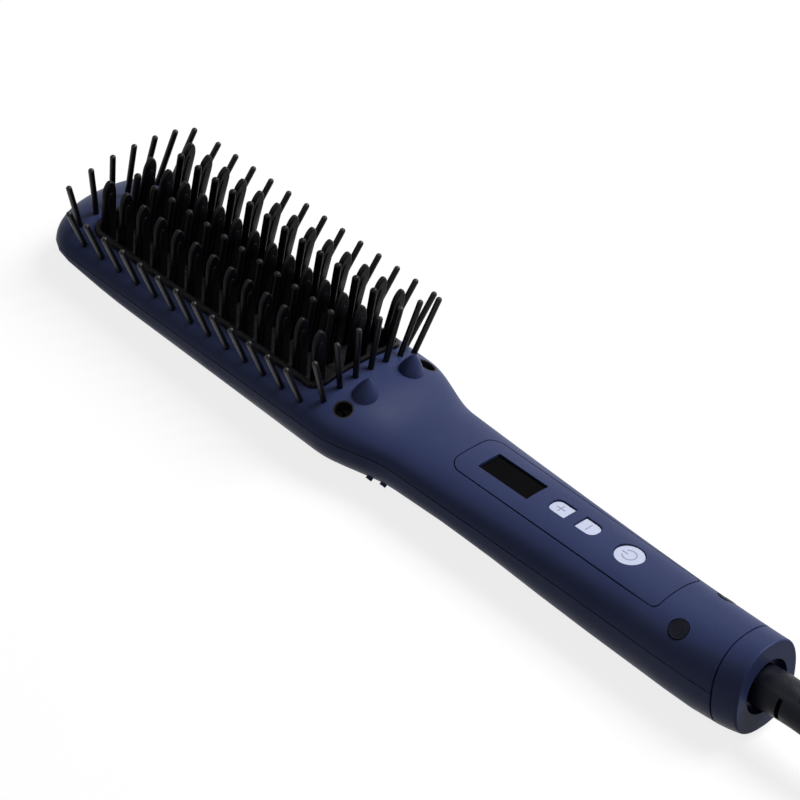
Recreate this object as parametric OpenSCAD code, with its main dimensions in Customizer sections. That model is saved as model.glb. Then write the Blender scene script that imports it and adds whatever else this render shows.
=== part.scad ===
// Heated straightening brush: long shell head with blade teeth, rods and a fence of pins,
// slim grip with a display and three buttons, and a swivelling cord.
// The brush lies on its back. +X runs from the tip to the cord, +Z up, and the surface is z = 0.

/* [Body] */
// Overall length, from the tip to the foot of the end face
total_len = 268; // [260:1:285]
// Length of the head, from the tip to the start of the shoulder
head_len = 116.4; // [115:0.2:120]
// Length over which the shoulder narrows to the grip
neck_len = 25; // [20:1:30]
// Width of the head
head_w = 48.8; // [48:0.2:54]
// Height of the head's crown at the middle of the head
head_h = 21.8; // [21.2:0.1:24]
// Height of the parting line at the middle of the head
seam_h = 11.3; // [10.8:0.1:12]
// Length of the rounded nose in plan
nose_len = 15.3; // [12:0.1:17]
// Length over which the back rises to the nose
keel_len = 42; // [30:1:50]
// Slope of the head against the surface
head_pitch = 1.8; // [1:0.1:2.4]
// Wall of both shells
wall = 2.2; // [1.8:0.1:2.6]
// Gap that shows as the parting line
seam_gap = 0.16; // [0.1:0.02:0.3]

/* [Grip] */
// Width of the grip behind the shoulder
neck_w = 35.8; // [34:0.2:40]
// Width of the grip at its slimmest
grip_w = 29.6; // [28.8:0.2:33]
// Height of the grip's crown behind the shoulder
neck_h = 21.6; // [20.6:0.1:23]
// Slope of the grip's crown and of the control panel
panel_pitch = 3.2; // [2.6:0.1:3.6]
// Rise of the hollow under the neck
arch_h = 2.3; // [1:0.1:3]
// Extra rise of the crown at the end face
flare_h = 2.7; // [1.5:0.1:3.5]
// How far each side draws in at the end face
end_draw = 2.2; // [1:0.1:2.6]
// Lift of the back at the end face
end_lift = 2; // [1:0.1:3]
// Lean of the end face
end_tilt = 8; // [4:0.5:10]
// Length of the end cap along the cord's axis
cap_len = 8.6; // [8:0.1:10]

/* [Bristles] */
// Blades along each row
blade_count = 13; // [11:1:13]
// Step between blades
pitch = 7.16; // [7:0.02:7.3]
// Step across from the middle blade row to an outer one, at the plate
row_step = 13.4; // [13.2:0.1:13.6]
// Outward lean of the outer blade rows
row_lean = 8; // [5:0.5:9]
// Height of a blade of the outer rows above the plate
blade_h = 22.9; // [20:0.1:24]
// Height of a blade of the middle row above the plate
middle_h = 24.3; // [21:0.1:25.5]
// Width of a blade at its foot
blade_w = 5.6; // [5:0.1:6]
// Thickness of a blade
blade_t = 1.6; // [1.2:0.1:2]
// Step across from the middle row to a rod row
rod_step = 8.8; // [8.6:0.05:9]
// Width of the tongue on a blade's broad faces
tongue_w = 2.4; // [1.8:0.1:3]
// Height of each tongue over its face
tongue_t = 0.3; // [0.2:0.05:0.4]
// Distance from a blade's tip to its tongue
tongue_drop = 4; // [3:0.5:6]
// Diameter of a rod
rod_d = 2.2; // [1.8:0.1:2.4]
// Height of a rod above the plate
rod_h = 24.3; // [21:0.1:25]
// Diameter of a pin
pin_d = 1.8; // [1.6:0.1:2]
// Step between side pins
pin_step = 7.4; // [7.2:0.02:7.5]
// Length of a side pin outside the shell
pin_len = 17.8; // [15:0.1:19]
// Outward lean of the side pins
pin_lean = 30; // [24:1:35]
// Distance from the middle to the foot of a side pin
pin_y = 21.9; // [21.7:0.1:22.3]
// Length of an end pin outside the shell
end_pin_len = 18.5; // [16:0.1:20]
// Distance of each end pin row outside the opening
end_pin_out = 3.2; // [2.8:0.1:4]
// Fan of the end pins, in degrees of lean per mm from the middle
end_fan = 1.24; // [0.8:0.01:1.4]
// Pins in each end row
end_pins = 7; // [5:2:7]
// Step between the end pins at their feet
end_pin_step = 6.2; // [5.8:0.1:6.4]

/* [Bed] */
// Width of the opening for the bed
bed_w = 36.8; // [36.4:0.1:37.4]
// Space between the last blade and the end of the opening
bed_margin = 4; // [2.6:0.1:4.4]
// Distance from the tip to the opening
tip_margin = 16.4; // [16:0.1:18]
// Corner radius of the opening
bed_r = 4.5; // [3:0.5:6]
// Height of the bed's lip over the shell
lip_h = 1.2; // [0.6:0.1:1.6]
// Thickness of the lip
lip_t = 1.1; // [0.9:0.1:1.3]
// Thickness of the heated plate
plate_t = 3; // [2.5:0.1:3.5]
// Depth of the plate's face under the crown
plate_sink = 6.3; // [6:0.1:7]

/* [Controls] */
// Distance from the shoulder's end to the middle of the display
display_x = 28; // [27:0.5:30]
// Length of the display window
display_l = 18.6; // [16:0.2:20]
// Width of the display window
display_w = 9.2; // [8:0.2:10]
// Length of the control panel before the middle of the display
panel_fore = 15.8; // [14:0.2:17]
// Length of the control panel behind the middle of the display
panel_aft = 61.9; // [58:0.5:63]
// Width of the control panel
panel_w = 19.4; // [18.6:0.2:20.4]
// Thickness of the control panel at its crown
panel_t = 2.4; // [2.2:0.1:2.8]
// Distance from the display to the flat side of the plus button
plus_x = 21.4; // [20:0.1:22]
// Web between the flat sides of plus and minus
button_web = 4.1; // [3.4:0.1:5]
// Length of the plus and minus buttons
button_l = 6.4; // [5.5:0.1:7]
// Width of the plus and minus buttons
button_w = 5.5; // [5:0.1:6.2]
// Distance from the display to the power button
power_x = 43.7; // [42:0.1:46]
// Diameter of the power button
power_d = 8.7; // [8:0.1:9.5]
// Travel of each button
travel = 0.5; // [0.3:0.05:0.6]
// Running gap round each button
button_gap = 0.15; // [0.1:0.01:0.25]

/* [Outlets and screws] */
// Distance of the outlets behind the start of the shoulder
outlet_aft = 3.4; // [2.4:0.2:5]
// Distance of each outlet from the middle
outlet_y = 17.3; // [16.8:0.1:18]
// Diameter of each outlet tube
outlet_d = 6; // [5:0.1:6.5]
// Distance of the stand-off bumps behind the start of the shoulder
bump_aft = 3.6; // [3:0.1:5]
// Distance of each stand-off bump from the middle
bump_y = 9.7; // [9:0.1:10.4]
// Height of each stand-off bump over the crown
bump_h = 5; // [4:0.1:6]
// Diameter of the screw plugs
plug_d = 6.4; // [5.8:0.1:7]
// Distance of the screws from the end face
screw_back = 25.4; // [25:0.1:27]
// Distance of each screw from the middle
screw_y = 10.4; // [10:0.1:10.6]

/* [Cord] */
// Height of the cord's axis in the end face
axis_h = 16.8; // [16:0.1:17.5]
// Diameter of the hole in the end cap
hole_d = 17; // [16:0.2:18]
// Diameter of the guard where it leaves the cap
guard_d = 12.6; // [11:0.1:12.8]
// Diameter of the guard at its thin end
guard_end_d = 8.4; // [7.6:0.1:9]
// Length of the guard along its bend
guard_len = 44; // [42:1:46]
// Downward bend of the guard
guard_bend = 38; // [36:1:40]
// Diameter of the cord
cord_d = 6; // [5.6:0.1:6]
// Radius of the coil's outer loop, at the cord's middle
coil_r = 37.5; // [36:0.5:39]

/* [Hidden] */

navy = [0.13, 0.15, 0.27];
soot = [0.06, 0.06, 0.07];
silver = [0.86, 0.86, 0.93];
metal = [0.62, 0.62, 0.64];
brass = [0.72, 0.58, 0.28];
board = [0.1, 0.35, 0.2];

// Places along X
x_tip = -total_len / 2;
x_end = total_len / 2 - (axis_h - end_lift) * tan(end_tilt);
x_nose = x_tip + nose_len;
x_shoulder = x_tip + head_len;
x_neck = x_shoulder + neck_len;
x_display = x_neck + display_x;
x_screw = x_end - screw_back;
bed_len = (blade_count - 1) * pitch + 2 * bed_margin;
x_bed = x_tip + tip_margin + bed_len / 2;

// Blocks that cut or keep a region reach well past the part
reach = total_len;

// Heights: the head and the grip each have a straight crown line, blended over the shoulder
head_slope = tan(head_pitch);
grip_slope = tan(panel_pitch);
seam_slope = 0.0147;
blend_lead = 3;
back_cut = 0.5;
body_power = 2.3;
back_power = 2.4;
grip_rear = 34;
x_flare = x_end - grip_rear;

function ease(t) = let (u = min(1, max(0, t))) u * u * (3 - 2 * u);
function arc_out(t, p) = t <= 0 ? 1 : pow(max(0, 1 - pow(min(1, t), p)), 1 / p);
function signed_pow(v, p) = sign(v) * pow(abs(v), p);

function nose(x) = arc_out((x_nose - x) / nose_len, 2.2);
function rear(x) = max(0, (x - x_flare) / grip_rear);
function half_w(x) =
    let (grip = grip_w / 2 + (neck_w - grip_w) / 2 * pow(max(0, 1 - max(0, x - x_neck) / (x_flare - x_neck)), 1.3))
    nose(x) * (head_w / 2 + (grip - head_w / 2) * ease((x - x_shoulder) / neck_len)) - end_draw * pow(rear(x), 2);
function seam(x) = seam_h + (min(x, x_shoulder) - x_bed) * head_slope + max(0, x - x_shoulder) * seam_slope;
function head_crown(x) = head_h + (x - x_bed) * head_slope;
function grip_crown(x) = neck_h + (x - x_neck) * grip_slope;
function crown(x) =
    let (k = ease((x - x_shoulder - blend_lead) / (neck_len - 2 * blend_lead)))
    seam(x) + nose(x) * (head_crown(x) * (1 - k) + grip_crown(x) * k - seam(x)) + flare_h * pow(rear(x), 2);
function keel(x) = pow(max(0, (x_tip + keel_len - x) / keel_len), 2.2);
function hollow(x) = let (t = (x - x_shoulder + 4) / (x_flare - x_shoulder - 14)) t > 0 && t < 1 ? pow(sin(180 * t), 2) : 0;
function belly(x) = -back_cut + (seam(x_tip) + back_cut) * keel(x) + arch_h * hollow(x)
    + (end_lift + back_cut) * pow(max(0, (x - x_end + 22) / 22), 3);
// Height of the upper surface over one point
function skin(x, y) = let (s = seam(x)) s + (crown(x) - s) * arc_out(abs(y) / half_w(x), body_power);

// Frames that features are set in
head_z = seam_h + (head_h - seam_h) * 0.503;
crown_z = head_h - head_z;
display_z = grip_crown(x_display);
module on_head() translate([x_bed, 0, head_z]) rotate([0, -head_pitch, 0]) children();
module on_panel() translate([x_display, 0, display_z]) rotate([0, -panel_pitch, 0]) children();
module on_axis() translate([x_end, 0, axis_h]) rotate([0, -end_tilt, 0]) children();
// A turned piece along the cord's axis: profile points are [radius, distance along the axis]
module turned(profile) on_axis() rotate([0, 90, 0]) rotate_extrude($fn = 72) polygon(profile);
module axial(d, from, to) on_axis() rotate([0, 90, 0]) translate([0, 0, from]) cylinder(d = d, h = to - from, $fn = 72);
module both_sides() { children(); mirror([0, 1, 0]) children(); }

// Housing sections: superellipse arcs above and below the parting line
nose_turns = [84, 74, 62, 48, 32, 16];
nose_x = [for (a = nose_turns) x_nose - nose_len * sin(a)];
neck_x = [for (i = [0:8]) x_shoulder + neck_len * i / 8];
grip_x = [for (i = [1:5]) x_neck + (x_flare - x_neck) * i / 5];
rear_x = [for (i = [1:4]) x_flare + (grip_rear + 4) * i / 4];
keel_x = [for (i = [1:4]) x_nose + (keel_len - nose_len) * i / 4];
top_x = concat(nose_x, [x_nose], neck_x, grip_x, rear_x);
back_x = concat(nose_x, [x_nose], keel_x, neck_x, grip_x, rear_x);

// A cavity's sides run straight for a short way past the parting line before they curve
rim_leg = 0.6;
function upper_arc(x, n, off) =
    let (w = half_w(x) - off, s = seam(x) + seam_gap / 2 + (off > 0 ? rim_leg : 0), h = crown(x) - off - s)
    [for (i = [0:n]) let (a = 180 * i / n)
        [x, w * signed_pow(cos(a), 2 / body_power), s + h * signed_pow(sin(a), 2 / body_power)]];
function lower_arc(x, n, off) =
    let (w = half_w(x) - off, s = seam(x) - seam_gap / 2 - (off > 0 ? rim_leg : 0), h = s - belly(x) - off)
    [for (i = [0:n]) let (a = 180 + 180 * i / n)
        [x, w * signed_pow(cos(a), 2 / back_power), s + h * signed_pow(sin(a), 2 / back_power)]];
// Straight legs that carry a cavity a little past the parting line
function legs(x, off, z, way) = [[x, way * (half_w(x) - off), z], [x, -way * (half_w(x) - off), z]];

module skin_over(rings) {
    n = len(rings[0]);
    m = len(rings);
    polyhedron(
        points = [for (r = rings, p = r) p],
        faces = concat(
            [[for (k = [0:n - 1]) k]],
            [for (j = [0:m - 2], k = [0:n - 1]) let (a = j * n + k, b = j * n + (k + 1) % n) [a + n, b, a]],
            [for (j = [0:m - 2], k = [0:n - 1]) let (a = j * n + k, b = j * n + (k + 1) % n) [a + n, b + n, b]],
            [[for (k = [n - 1:-1:0]) (m - 1) * n + k]]),
        convexity = 6);
}
module upper_form(xs, n = 22, off = 0)
    skin_over([for (x = xs) off > 0
        ? concat(upper_arc(x, n, off), legs(x, off, seam(x) - 1, -1))
        : upper_arc(x, n, off)]);
module lower_form(xs, n = 22, off = 0)
    skin_over([for (x = xs) off > 0
        ? concat(lower_arc(x, n, off), legs(x, off, seam(x) + 1, 1))
        : lower_arc(x, n, off)]);

// Full section, for the end cap
module full_form(xs, n = 22) skin_over([for (x = xs) concat(upper_arc(x, n, 0), lower_arc(x, n, 0))]);

// Heights in the head's frame, from the crown down to the clamp
bed_gap = 0.1;
plate_top = crown_z - plate_sink;
plate_floor = plate_top - plate_t;
ledge_t = 1.4;
ledge_in = 1.8;
flange_t = 1.4;
flange_out = 1;
flange_rise = 0.25;
flange_top = plate_top + flange_rise;
bar_t = 3.2;
bar_w = 9;
bar_l = 64;
bar_y = 3;
clamp_t = 1.4;
clamp_l = 74;
clamp_w = 26;
clamp_holes = 6;
clamp_hole_step = 10;
clamp_hole_d = 4;
clamp_floor = plate_floor - bar_t - clamp_t;
function along(i, n) = (i - (n - 1) / 2) * pitch;

module rounded_rect(l, w, r) {
    square([l - 2 * r, w], center = true);
    square([l, w - 2 * r], center = true);
    for (sx = [-1, 1], sy = [-1, 1]) translate([sx * (l / 2 - r), sy * (w / 2 - r)]) circle(r = r, $fn = 48);
}
module bed_slab(grow, from, to) translate([0, 0, from]) linear_extrude(to - from)
    rounded_rect(bed_len + 2 * grow, bed_w + 2 * grow, max(0.8, bed_r + grow));

// Pins: a straight foot runs through the shell, and each pin ends in a ball
pin_foot = 2.4;
pin_fit = 0.06;
module pin(len) {
    translate([0, 0, -pin_foot]) cylinder(d = pin_d, h = pin_foot + len - pin_d / 2, $fn = 24);
    translate([0, 0, len - pin_d / 2]) sphere(d = pin_d, $fn = 24);
}
module pin_hole() translate([0, 0, -pin_foot - 3]) cylinder(d = pin_d + 2 * pin_fit, h = pin_foot + 6, $fn = 24);
module at_side_pins(side) on_head() for (i = [0:blade_count - 1])
    translate([(i - (blade_count - 1) / 2) * pin_step, side * pin_y, 0]) rotate([-side * pin_lean, 0, 0]) children();
end_pin_x = bed_len / 2 + end_pin_out;
function end_pin_z(x, y) = skin(x_bed + x, y) - head_z - x * head_slope;
module at_end_pins(side) on_head() for (i = [0:end_pins - 1])
    let (y = (i - (end_pins - 1) / 2) * end_pin_step)
    translate([side * end_pin_x, y, end_pin_z(side * end_pin_x, y)]) rotate([-y * end_fan, 0, 0]) children();

// Shell halves
roof = 5.4;
screw_d = 2.6;
plug_fit = 0.05;
boss_wall = 0.6;
// The keys and their switches stand in a well under the panel
well_in = 2;
screw_pass = 0.3;
screw_bite = 0.06;
panel_fit = 0.12;
seat_d = 19.4;
seat_fit = 0.15;
seat_depth = 12;
wire_d = 12;
head_hollow_x = [x_tip + 6, x_tip + 10, x_nose, x_nose + 24, x_shoulder, x_shoulder + 8, x_neck - 8, x_neck + 3];
back_hollow_x = [x_tip + 8, x_tip + 12, x_nose + 3, x_nose + 12, x_tip + keel_len, x_shoulder, x_neck - 8,
    x_neck + 8, x_flare - 20, x_flare, x_screw + 2];
module behind_cap() on_axis() translate([-cap_len - reach, -reach / 2, -reach / 2]) cube(reach);
module grip_hollow() on_panel() translate([0, 0, -roof - 20]) linear_extrude(20)
    polygon([for (s = [-1, 1], k = [0:4]) let (q = (s > 0 ? k : 4 - k) / 4,
        x = (x_neck - x_display - 4) * (1 - q) + (panel_aft - 2) * q)
        [x, s * (half_w(x_display + x) - wall - 1.2)]]);
module swivel_seat() {
    axial(seat_d + 2 * seat_fit, -cap_len - seat_depth, 1);
    axial(wire_d, -cap_len - seat_depth - 14, 1);
}
panel_r = 1.6;
module panel_outline(grow) translate([(panel_aft - panel_fore) / 2, 0])
    rounded_rect(panel_fore + panel_aft + 2 * grow, panel_w + 2 * grow, panel_r);
outlet_lean = 22;
outlet_tip = 4;
module at_outlets() both_sides() translate([x_shoulder + outlet_aft, outlet_y, skin(x_shoulder + outlet_aft, outlet_y)])
    rotate([-outlet_lean, outlet_tip, 0]) children();
module at_screws() both_sides() translate([x_screw, screw_y, 0]) children();
// Stand-off bump: a cone with a round apex and a steep face towards the cord
bump_foot = 3;
bump_flank = 27;
bump_tip_r = 2.3;
bump_face = 1.5;
bump_rake = 12;
module bumps() both_sides() translate([x_shoulder + bump_aft, bump_y, skin(x_shoulder + bump_aft, bump_y) - bump_foot]) {
    tip = bump_h + bump_foot - bump_tip_r;
    top = tip + bump_tip_r * sin(bump_flank);
    top_r = bump_tip_r * cos(bump_flank);
    difference() {
        union() {
            cylinder(r1 = top_r + top * tan(bump_flank), r2 = top_r, h = top, $fn = 48);
            translate([0, 0, tip]) sphere(r = bump_tip_r, $fn = 48);
        }
        translate([bump_face, -20, -1]) rotate([0, -bump_rake, 0]) cube([20, 40, 40]);
    }
}
module upper_shell() color(navy) difference() {
    union() {
        intersection() { upper_form(top_x); behind_cap(); }
        bumps();
    }
    upper_form(head_hollow_x, 8, wall);
    grip_hollow();
    swivel_seat();
    on_head() bed_slab(0, -12, 20);
    for (side = [-1, 1]) { at_side_pins(side) pin_hole(); at_end_pins(side) pin_hole(); }
    at_outlets() translate([0, 0, -8]) cylinder(d = outlet_d + 2 * plug_fit, h = 16, $fn = 48);
    on_panel() translate([0, 0, -panel_t]) linear_extrude(10) panel_outline(panel_fit);
    on_panel() translate([well_in - panel_fore, well_in - panel_w / 2, -roof - 1])
        cube([panel_fore + power_x + power_d / 2, panel_w - 2 * well_in, roof]);
    at_screws() {
        translate([0, 0, counterbore_z]) cylinder(d = plug_d + 2 * plug_fit, h = 20, $fn = 48);
        cylinder(d = screw_d + screw_pass, h = 40, $fn = 32);
    }
}
screw_rest = 3;
screw_deep = 8;
counterbore_z = seam(x_screw) + screw_rest;
screw_floor = seam(x_screw) - screw_deep;
pad_h = 6;
pad_t = 2;
ion_fore = 7;
ion_span = 17;
power_back = 20.1;
power_span = 27;
pads = [x_neck - ion_fore, x_neck - ion_fore + ion_span, x_screw - power_back - power_span, x_screw - power_back];
clamp_rest = 30;
module cross_rib(x, top) translate([x - pad_t / 2, -head_w, -head_h]) cube([pad_t, 2 * head_w, head_h + top]);
module back_shell() color(navy) difference() {
    union() {
        difference() {
            intersection() { lower_form(back_x); behind_cap(); }
            lower_form(back_hollow_x, 8, wall);
        }
        intersection() {
            lower_form(back_x);
            union() {
                for (x = pads) cross_rib(x, pad_h);
                for (x = [-clamp_rest, clamp_rest])
                    cross_rib(x_bed + x, head_z + clamp_floor + x * head_slope - 0.2);
                at_screws() translate([0, 0, -5]) cylinder(r = plug_d / 2 + boss_wall, h = 40, $fn = 48);
            }
        }
        back_nubs();
    }
    swivel_seat();
    at_screws() translate([0, 0, screw_floor - 1]) cylinder(d = screw_d + screw_bite, h = 20, $fn = 32);
    translate([-reach, -reach, -reach]) cube([2 * reach, 2 * reach, reach]);
}
// Two small nubs under each side of the neck
nub_at = [x_neck - 8.4, x_neck - 4.1];
nub_in = 4.6;
nub_down = 7.8;
nub_d = 2;
nub_l = 2.2;
module back_nubs() both_sides() for (x = nub_at)
    translate([x, half_w(x) - nub_in, seam(x) - nub_down]) rotate([-135, 0, 0]) cylinder(d = nub_d, h = nub_l, $fn = 24);
core_d = 13.4;
core_fit = 0.07;
flange_d = 20.4;
recess = 2.6;
flange_front = 4.5;
flange_rear = 7.4;
flange_room = 0.3;
flange_play = 0.1;
cap_gap = 0.25;
module end_cap() color(navy) difference() {
    intersection() {
        full_form(rear_x);
        on_axis() translate([cap_gap - cap_len, -reach / 2, -reach / 2]) cube([cap_len - cap_gap, reach, reach]);
    }
    axial(hole_d, -recess, 5);
    axial(core_d + 2 * core_fit, -20, 5);
    axial(flange_d + 2 * flange_room, -20, flange_play - flange_front);
}

// Bed: a frame whose lip follows the crown, the heated plate, and the blades and rods on it
module bed_frame() color(soot) on_head() difference() {
    union() {
        intersection() {
            bed_slab(-bed_gap, plate_floor - ledge_t, 20);
            off_head() upper_form([x_nose, x_shoulder], 22, -lip_h);
        }
        bed_slab(flange_out, flange_top - flange_t, flange_top);
    }
    bed_slab(-bed_gap - lip_t, plate_floor, 21);
    bed_slab(-bed_gap - lip_t - ledge_in, plate_floor - 5, 21);
}
module off_head() rotate([0, head_pitch, 0]) translate([-x_bed, 0, -head_z]) children();
module heat_plate() color(metal) on_head() {
    bed_slab(-2 * bed_gap - lip_t, plate_floor, plate_top);
}

// A blade is a flat leaf with a pointed arch for a top and a narrow tongue on its broad faces.
// The arch's rise, its centres and the leaf's half width at the top are given for a leaf 1 wide.
leaf_rise = 0.8;
leaf_centre = 0.35;
leaf_top = 0.42;
module leaf(w, h, t) rotate([90, 0, 90]) translate([0, 0, -t / 2]) linear_extrude(t) intersection() {
    polygon([[-w / 2, 0], [w / 2, 0], [w * leaf_top, h], [-w * leaf_top, h]]);
    union() {
        translate([-w / 2, 0]) square([w, h - w * leaf_rise]);
        translate([0, h - w * leaf_rise]) intersection_for(way = [-1, 1])
            translate([way * w * leaf_centre, 0]) circle(r = w * norm([leaf_centre, leaf_rise]), $fn = 64);
    }
}
module blade_row(side) on_head() for (i = [0:blade_count - 1])
    translate([along(i, blade_count), side * row_step, plate_top]) rotate([-side * row_lean, 0, 0]) blade(side);
module blade(side) {
    foot = abs(side) * sin(row_lean) * blade_w / 2;
    tall = foot + (side == 0 ? middle_h : blade_h);
    difference() {
        translate([0, 0, -foot]) {
            leaf(blade_w, tall, blade_t);
            leaf(tongue_w, tall - tongue_drop, blade_t + 2 * tongue_t);
        }
        rotate([side * row_lean, 0, 0]) translate([-blade_w, -2 * blade_w, -blade_w]) cube([2 * blade_w, 4 * blade_w, blade_w]);
    }
}
module blades_near() color(soot) blade_row(-1);
module blades_middle() color(soot) blade_row(0);
module blades_far() color(soot) blade_row(1);
module rod_row(side) on_head() for (i = [0:blade_count - 2])
    translate([along(i, blade_count - 1), side * rod_step, plate_top]) {
        cylinder(d = rod_d, h = rod_h - rod_d / 2, $fn = 32);
        translate([0, 0, rod_h - rod_d / 2]) sphere(d = rod_d, $fn = 32);
    }
module rods_near() color(soot) rod_row(-1);
module rods_far() color(soot) rod_row(1);
module pins_near() color(soot) at_side_pins(-1) pin(pin_len);
module pins_far() color(soot) at_side_pins(1) pin(pin_len);
module pins_tip() color(soot) at_end_pins(-1) pin(end_pin_len);
module pins_shoulder() color(soot) at_end_pins(1) pin(end_pin_len);

// Heater stack under the plate
module heater_bars() color(metal) on_head() both_sides() translate([-bar_l / 2, bar_y, plate_floor - bar_t]) cube([bar_l, bar_w, bar_t]);
module heater_clamp() color(metal) on_head() translate([0, 0, clamp_floor]) difference() {
    translate([-clamp_l / 2, -clamp_w / 2, 0]) cube([clamp_l, clamp_w, clamp_t]);
    for (i = [0:clamp_holes - 1]) translate([(i - (clamp_holes - 1) / 2) * clamp_hole_step, 0, -1])
        cylinder(d = clamp_hole_d, h = clamp_t + 2, $fn = 32);
}
fuse_d = 3.4;
fuse_l = 11;
fuse_lead = 6;
fuse_lead_d = 0.9;
fuse_at = [-15, 7];
module thermal_fuse() color(metal) on_head() translate([fuse_at[0], fuse_at[1], clamp_floor - fuse_d / 2]) rotate([0, 90, 0]) {
    cylinder(d = fuse_d, h = fuse_l, center = true, $fn = 32);
    cylinder(d = fuse_lead_d, h = fuse_l + 2 * fuse_lead, center = true, $fn = 16);
}

// Ion outlets, their needles and the module that feeds them
tube_len = 5;
outlet_wall = 0.8;
module outlet_tubes() color(soot) at_outlets() translate([0, 0, -tube_len]) difference() {
    cylinder(d = outlet_d, h = tube_len, $fn = 48);
    translate([0, 0, -1]) cylinder(d = outlet_d - 2 * outlet_wall, h = tube_len + 2, $fn = 48);
}
disc_fit = 0.03;
disc_t = 1;
needle_d = 1;
needle_h = 3;
point_h = 1.2;
module outlet_needles() color(metal) at_outlets() translate([0, 0, -tube_len]) {
    cylinder(d = outlet_d - 2 * outlet_wall - 2 * disc_fit, h = disc_t, $fn = 48);
    cylinder(d = needle_d, h = needle_h, $fn = 24);
    translate([0, 0, needle_h]) cylinder(d1 = needle_d, d2 = needle_d / 5, h = point_h, $fn = 24);
}
rest_gap = 0.1;
ion_w = 16;
ion_h = 7.5;
ion_over = 2;
module ion_module() color(soot) translate([pads[0] - ion_over, -ion_w / 2, pad_h + rest_gap])
    cube([pads[1] - pads[0] + 2 * ion_over, ion_w, ion_h]);

// Controls
lens_sink = 0.3;
lens_t = 1;
lens_fit = 0.1;
lens_ledge = 1.2;
module_over = 1;
key_flange = 0.8;
key_rim = 0.8;
key_gap = 0.1;
key_sink = 0.15;
board_top = -roof - rest_gap;
board_t = 1.6;
panel_x = concat([x_neck], grip_x, [rear_x[0]]);
module d_outline(grow) {
    translate([button_w / 2 - button_l, 0]) circle(r = button_w / 2 + grow, $fn = 48);
    translate([button_w / 2 - button_l, -button_w / 2 - grow]) square([button_l - button_w / 2 + grow, button_w + 2 * grow]);
}
module plus_outline(grow) translate([plus_x, 0]) d_outline(grow);
module minus_outline(grow) translate([plus_x + button_web, 0]) mirror([1, 0]) d_outline(grow);
module power_outline(grow) translate([power_x, 0]) circle(r = power_d / 2 + grow, $fn = 64);
module control_panel() color(navy) difference() {
    intersection() {
        upper_form(panel_x);
        on_panel() translate([0, 0, -panel_t]) linear_extrude(10) panel_outline(0);
    }
    on_panel() {
        translate([-display_l / 2, -display_w / 2, -lens_sink - lens_t]) cube([display_l, display_w, 5]);
        translate([lens_ledge - display_l / 2, lens_ledge - display_w / 2, -5])
            cube([display_l - 2 * lens_ledge, display_w - 2 * lens_ledge, 10]);
        translate([0, 0, -5]) linear_extrude(10) {
            plus_outline(button_gap);
            minus_outline(button_gap);
            power_outline(button_gap);
        }
    }
}
module display_lens() color(soot) on_panel() translate([lens_fit - display_l / 2, lens_fit - display_w / 2, -lens_sink - lens_t])
    cube([display_l - 2 * lens_fit, display_w - 2 * lens_fit, lens_t]);
module display_module() color(board) on_panel()
    translate([-display_l / 2 - module_over, -display_w / 2 - module_over, board_top])
        cube([display_l + 2 * module_over, display_w + 2 * module_over, -panel_t - key_gap - board_top]);
key_floor = -panel_t - key_gap - key_rim;
module key() {
    translate([0, 0, key_floor]) linear_extrude(-key_sink - key_floor) children(0);
    translate([0, 0, key_floor]) linear_extrude(key_rim) children(1);
}
module button_plus() color(silver) on_panel() key() { plus_outline(0); plus_outline(key_flange); }
module button_minus() color(silver) on_panel() key() { minus_outline(0); minus_outline(key_flange); }
module button_power() color(silver) on_panel() key() { power_outline(0); power_outline(key_flange); }
switch_h = 1;
switch_w = 4.4;
stem_d = 2;
stem_gap = 0.1;
module switches() color(metal) on_panel()
    for (x = [plus_x - button_l / 2, plus_x + button_web + button_l / 2, power_x]) translate([x, 0, board_top]) {
        translate([-switch_w / 2, -switch_w / 2, 0]) cube([switch_w, switch_w, switch_h]);
        cylinder(d = stem_d, h = key_floor - travel - stem_gap - board_top, $fn = 32);
    }
board_in = 3;
module main_board() color(board) on_panel() translate([board_in - panel_fore, -panel_w / 2, board_top - board_t])
    cube([panel_fore + panel_aft - 2 * board_in, panel_w, board_t]);
power_w = 18;
power_over = 3;
module power_board() color(board) translate([pads[2] - power_over, -power_w / 2, pad_h + rest_gap])
    cube([pads[3] - pads[2] + 2 * power_over, power_w, board_t]);
cap_d = 8;
cap_l = 16;
cap_gap_z = 0.05;
module filter_capacitor() color(soot) translate([pads[2] + cap_d / 2, 0, pad_h + rest_gap + board_t + cap_gap_z + cap_d / 2])
    rotate([0, 90, 0]) cylinder(d = cap_d, h = cap_l, $fn = 48);

// Screws and their plugs
head_d = 4.8;
head_t = 2;
module screw_plugs() color([0.2, 0.2, 0.22]) intersection() {
    upper_form(concat([grip_x[4]], rear_x));
    at_screws() translate([0, 0, counterbore_z + head_t + rest_gap]) cylinder(d = plug_d, h = 20, $fn = 48);
}
module housing_screws() color(metal) at_screws() {
    translate([0, 0, screw_floor]) cylinder(d = screw_d, h = counterbore_z - screw_floor + head_t / 2, $fn = 32);
    translate([0, 0, counterbore_z]) cylinder(d = head_d, h = head_t, $fn = 32);
}

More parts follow.
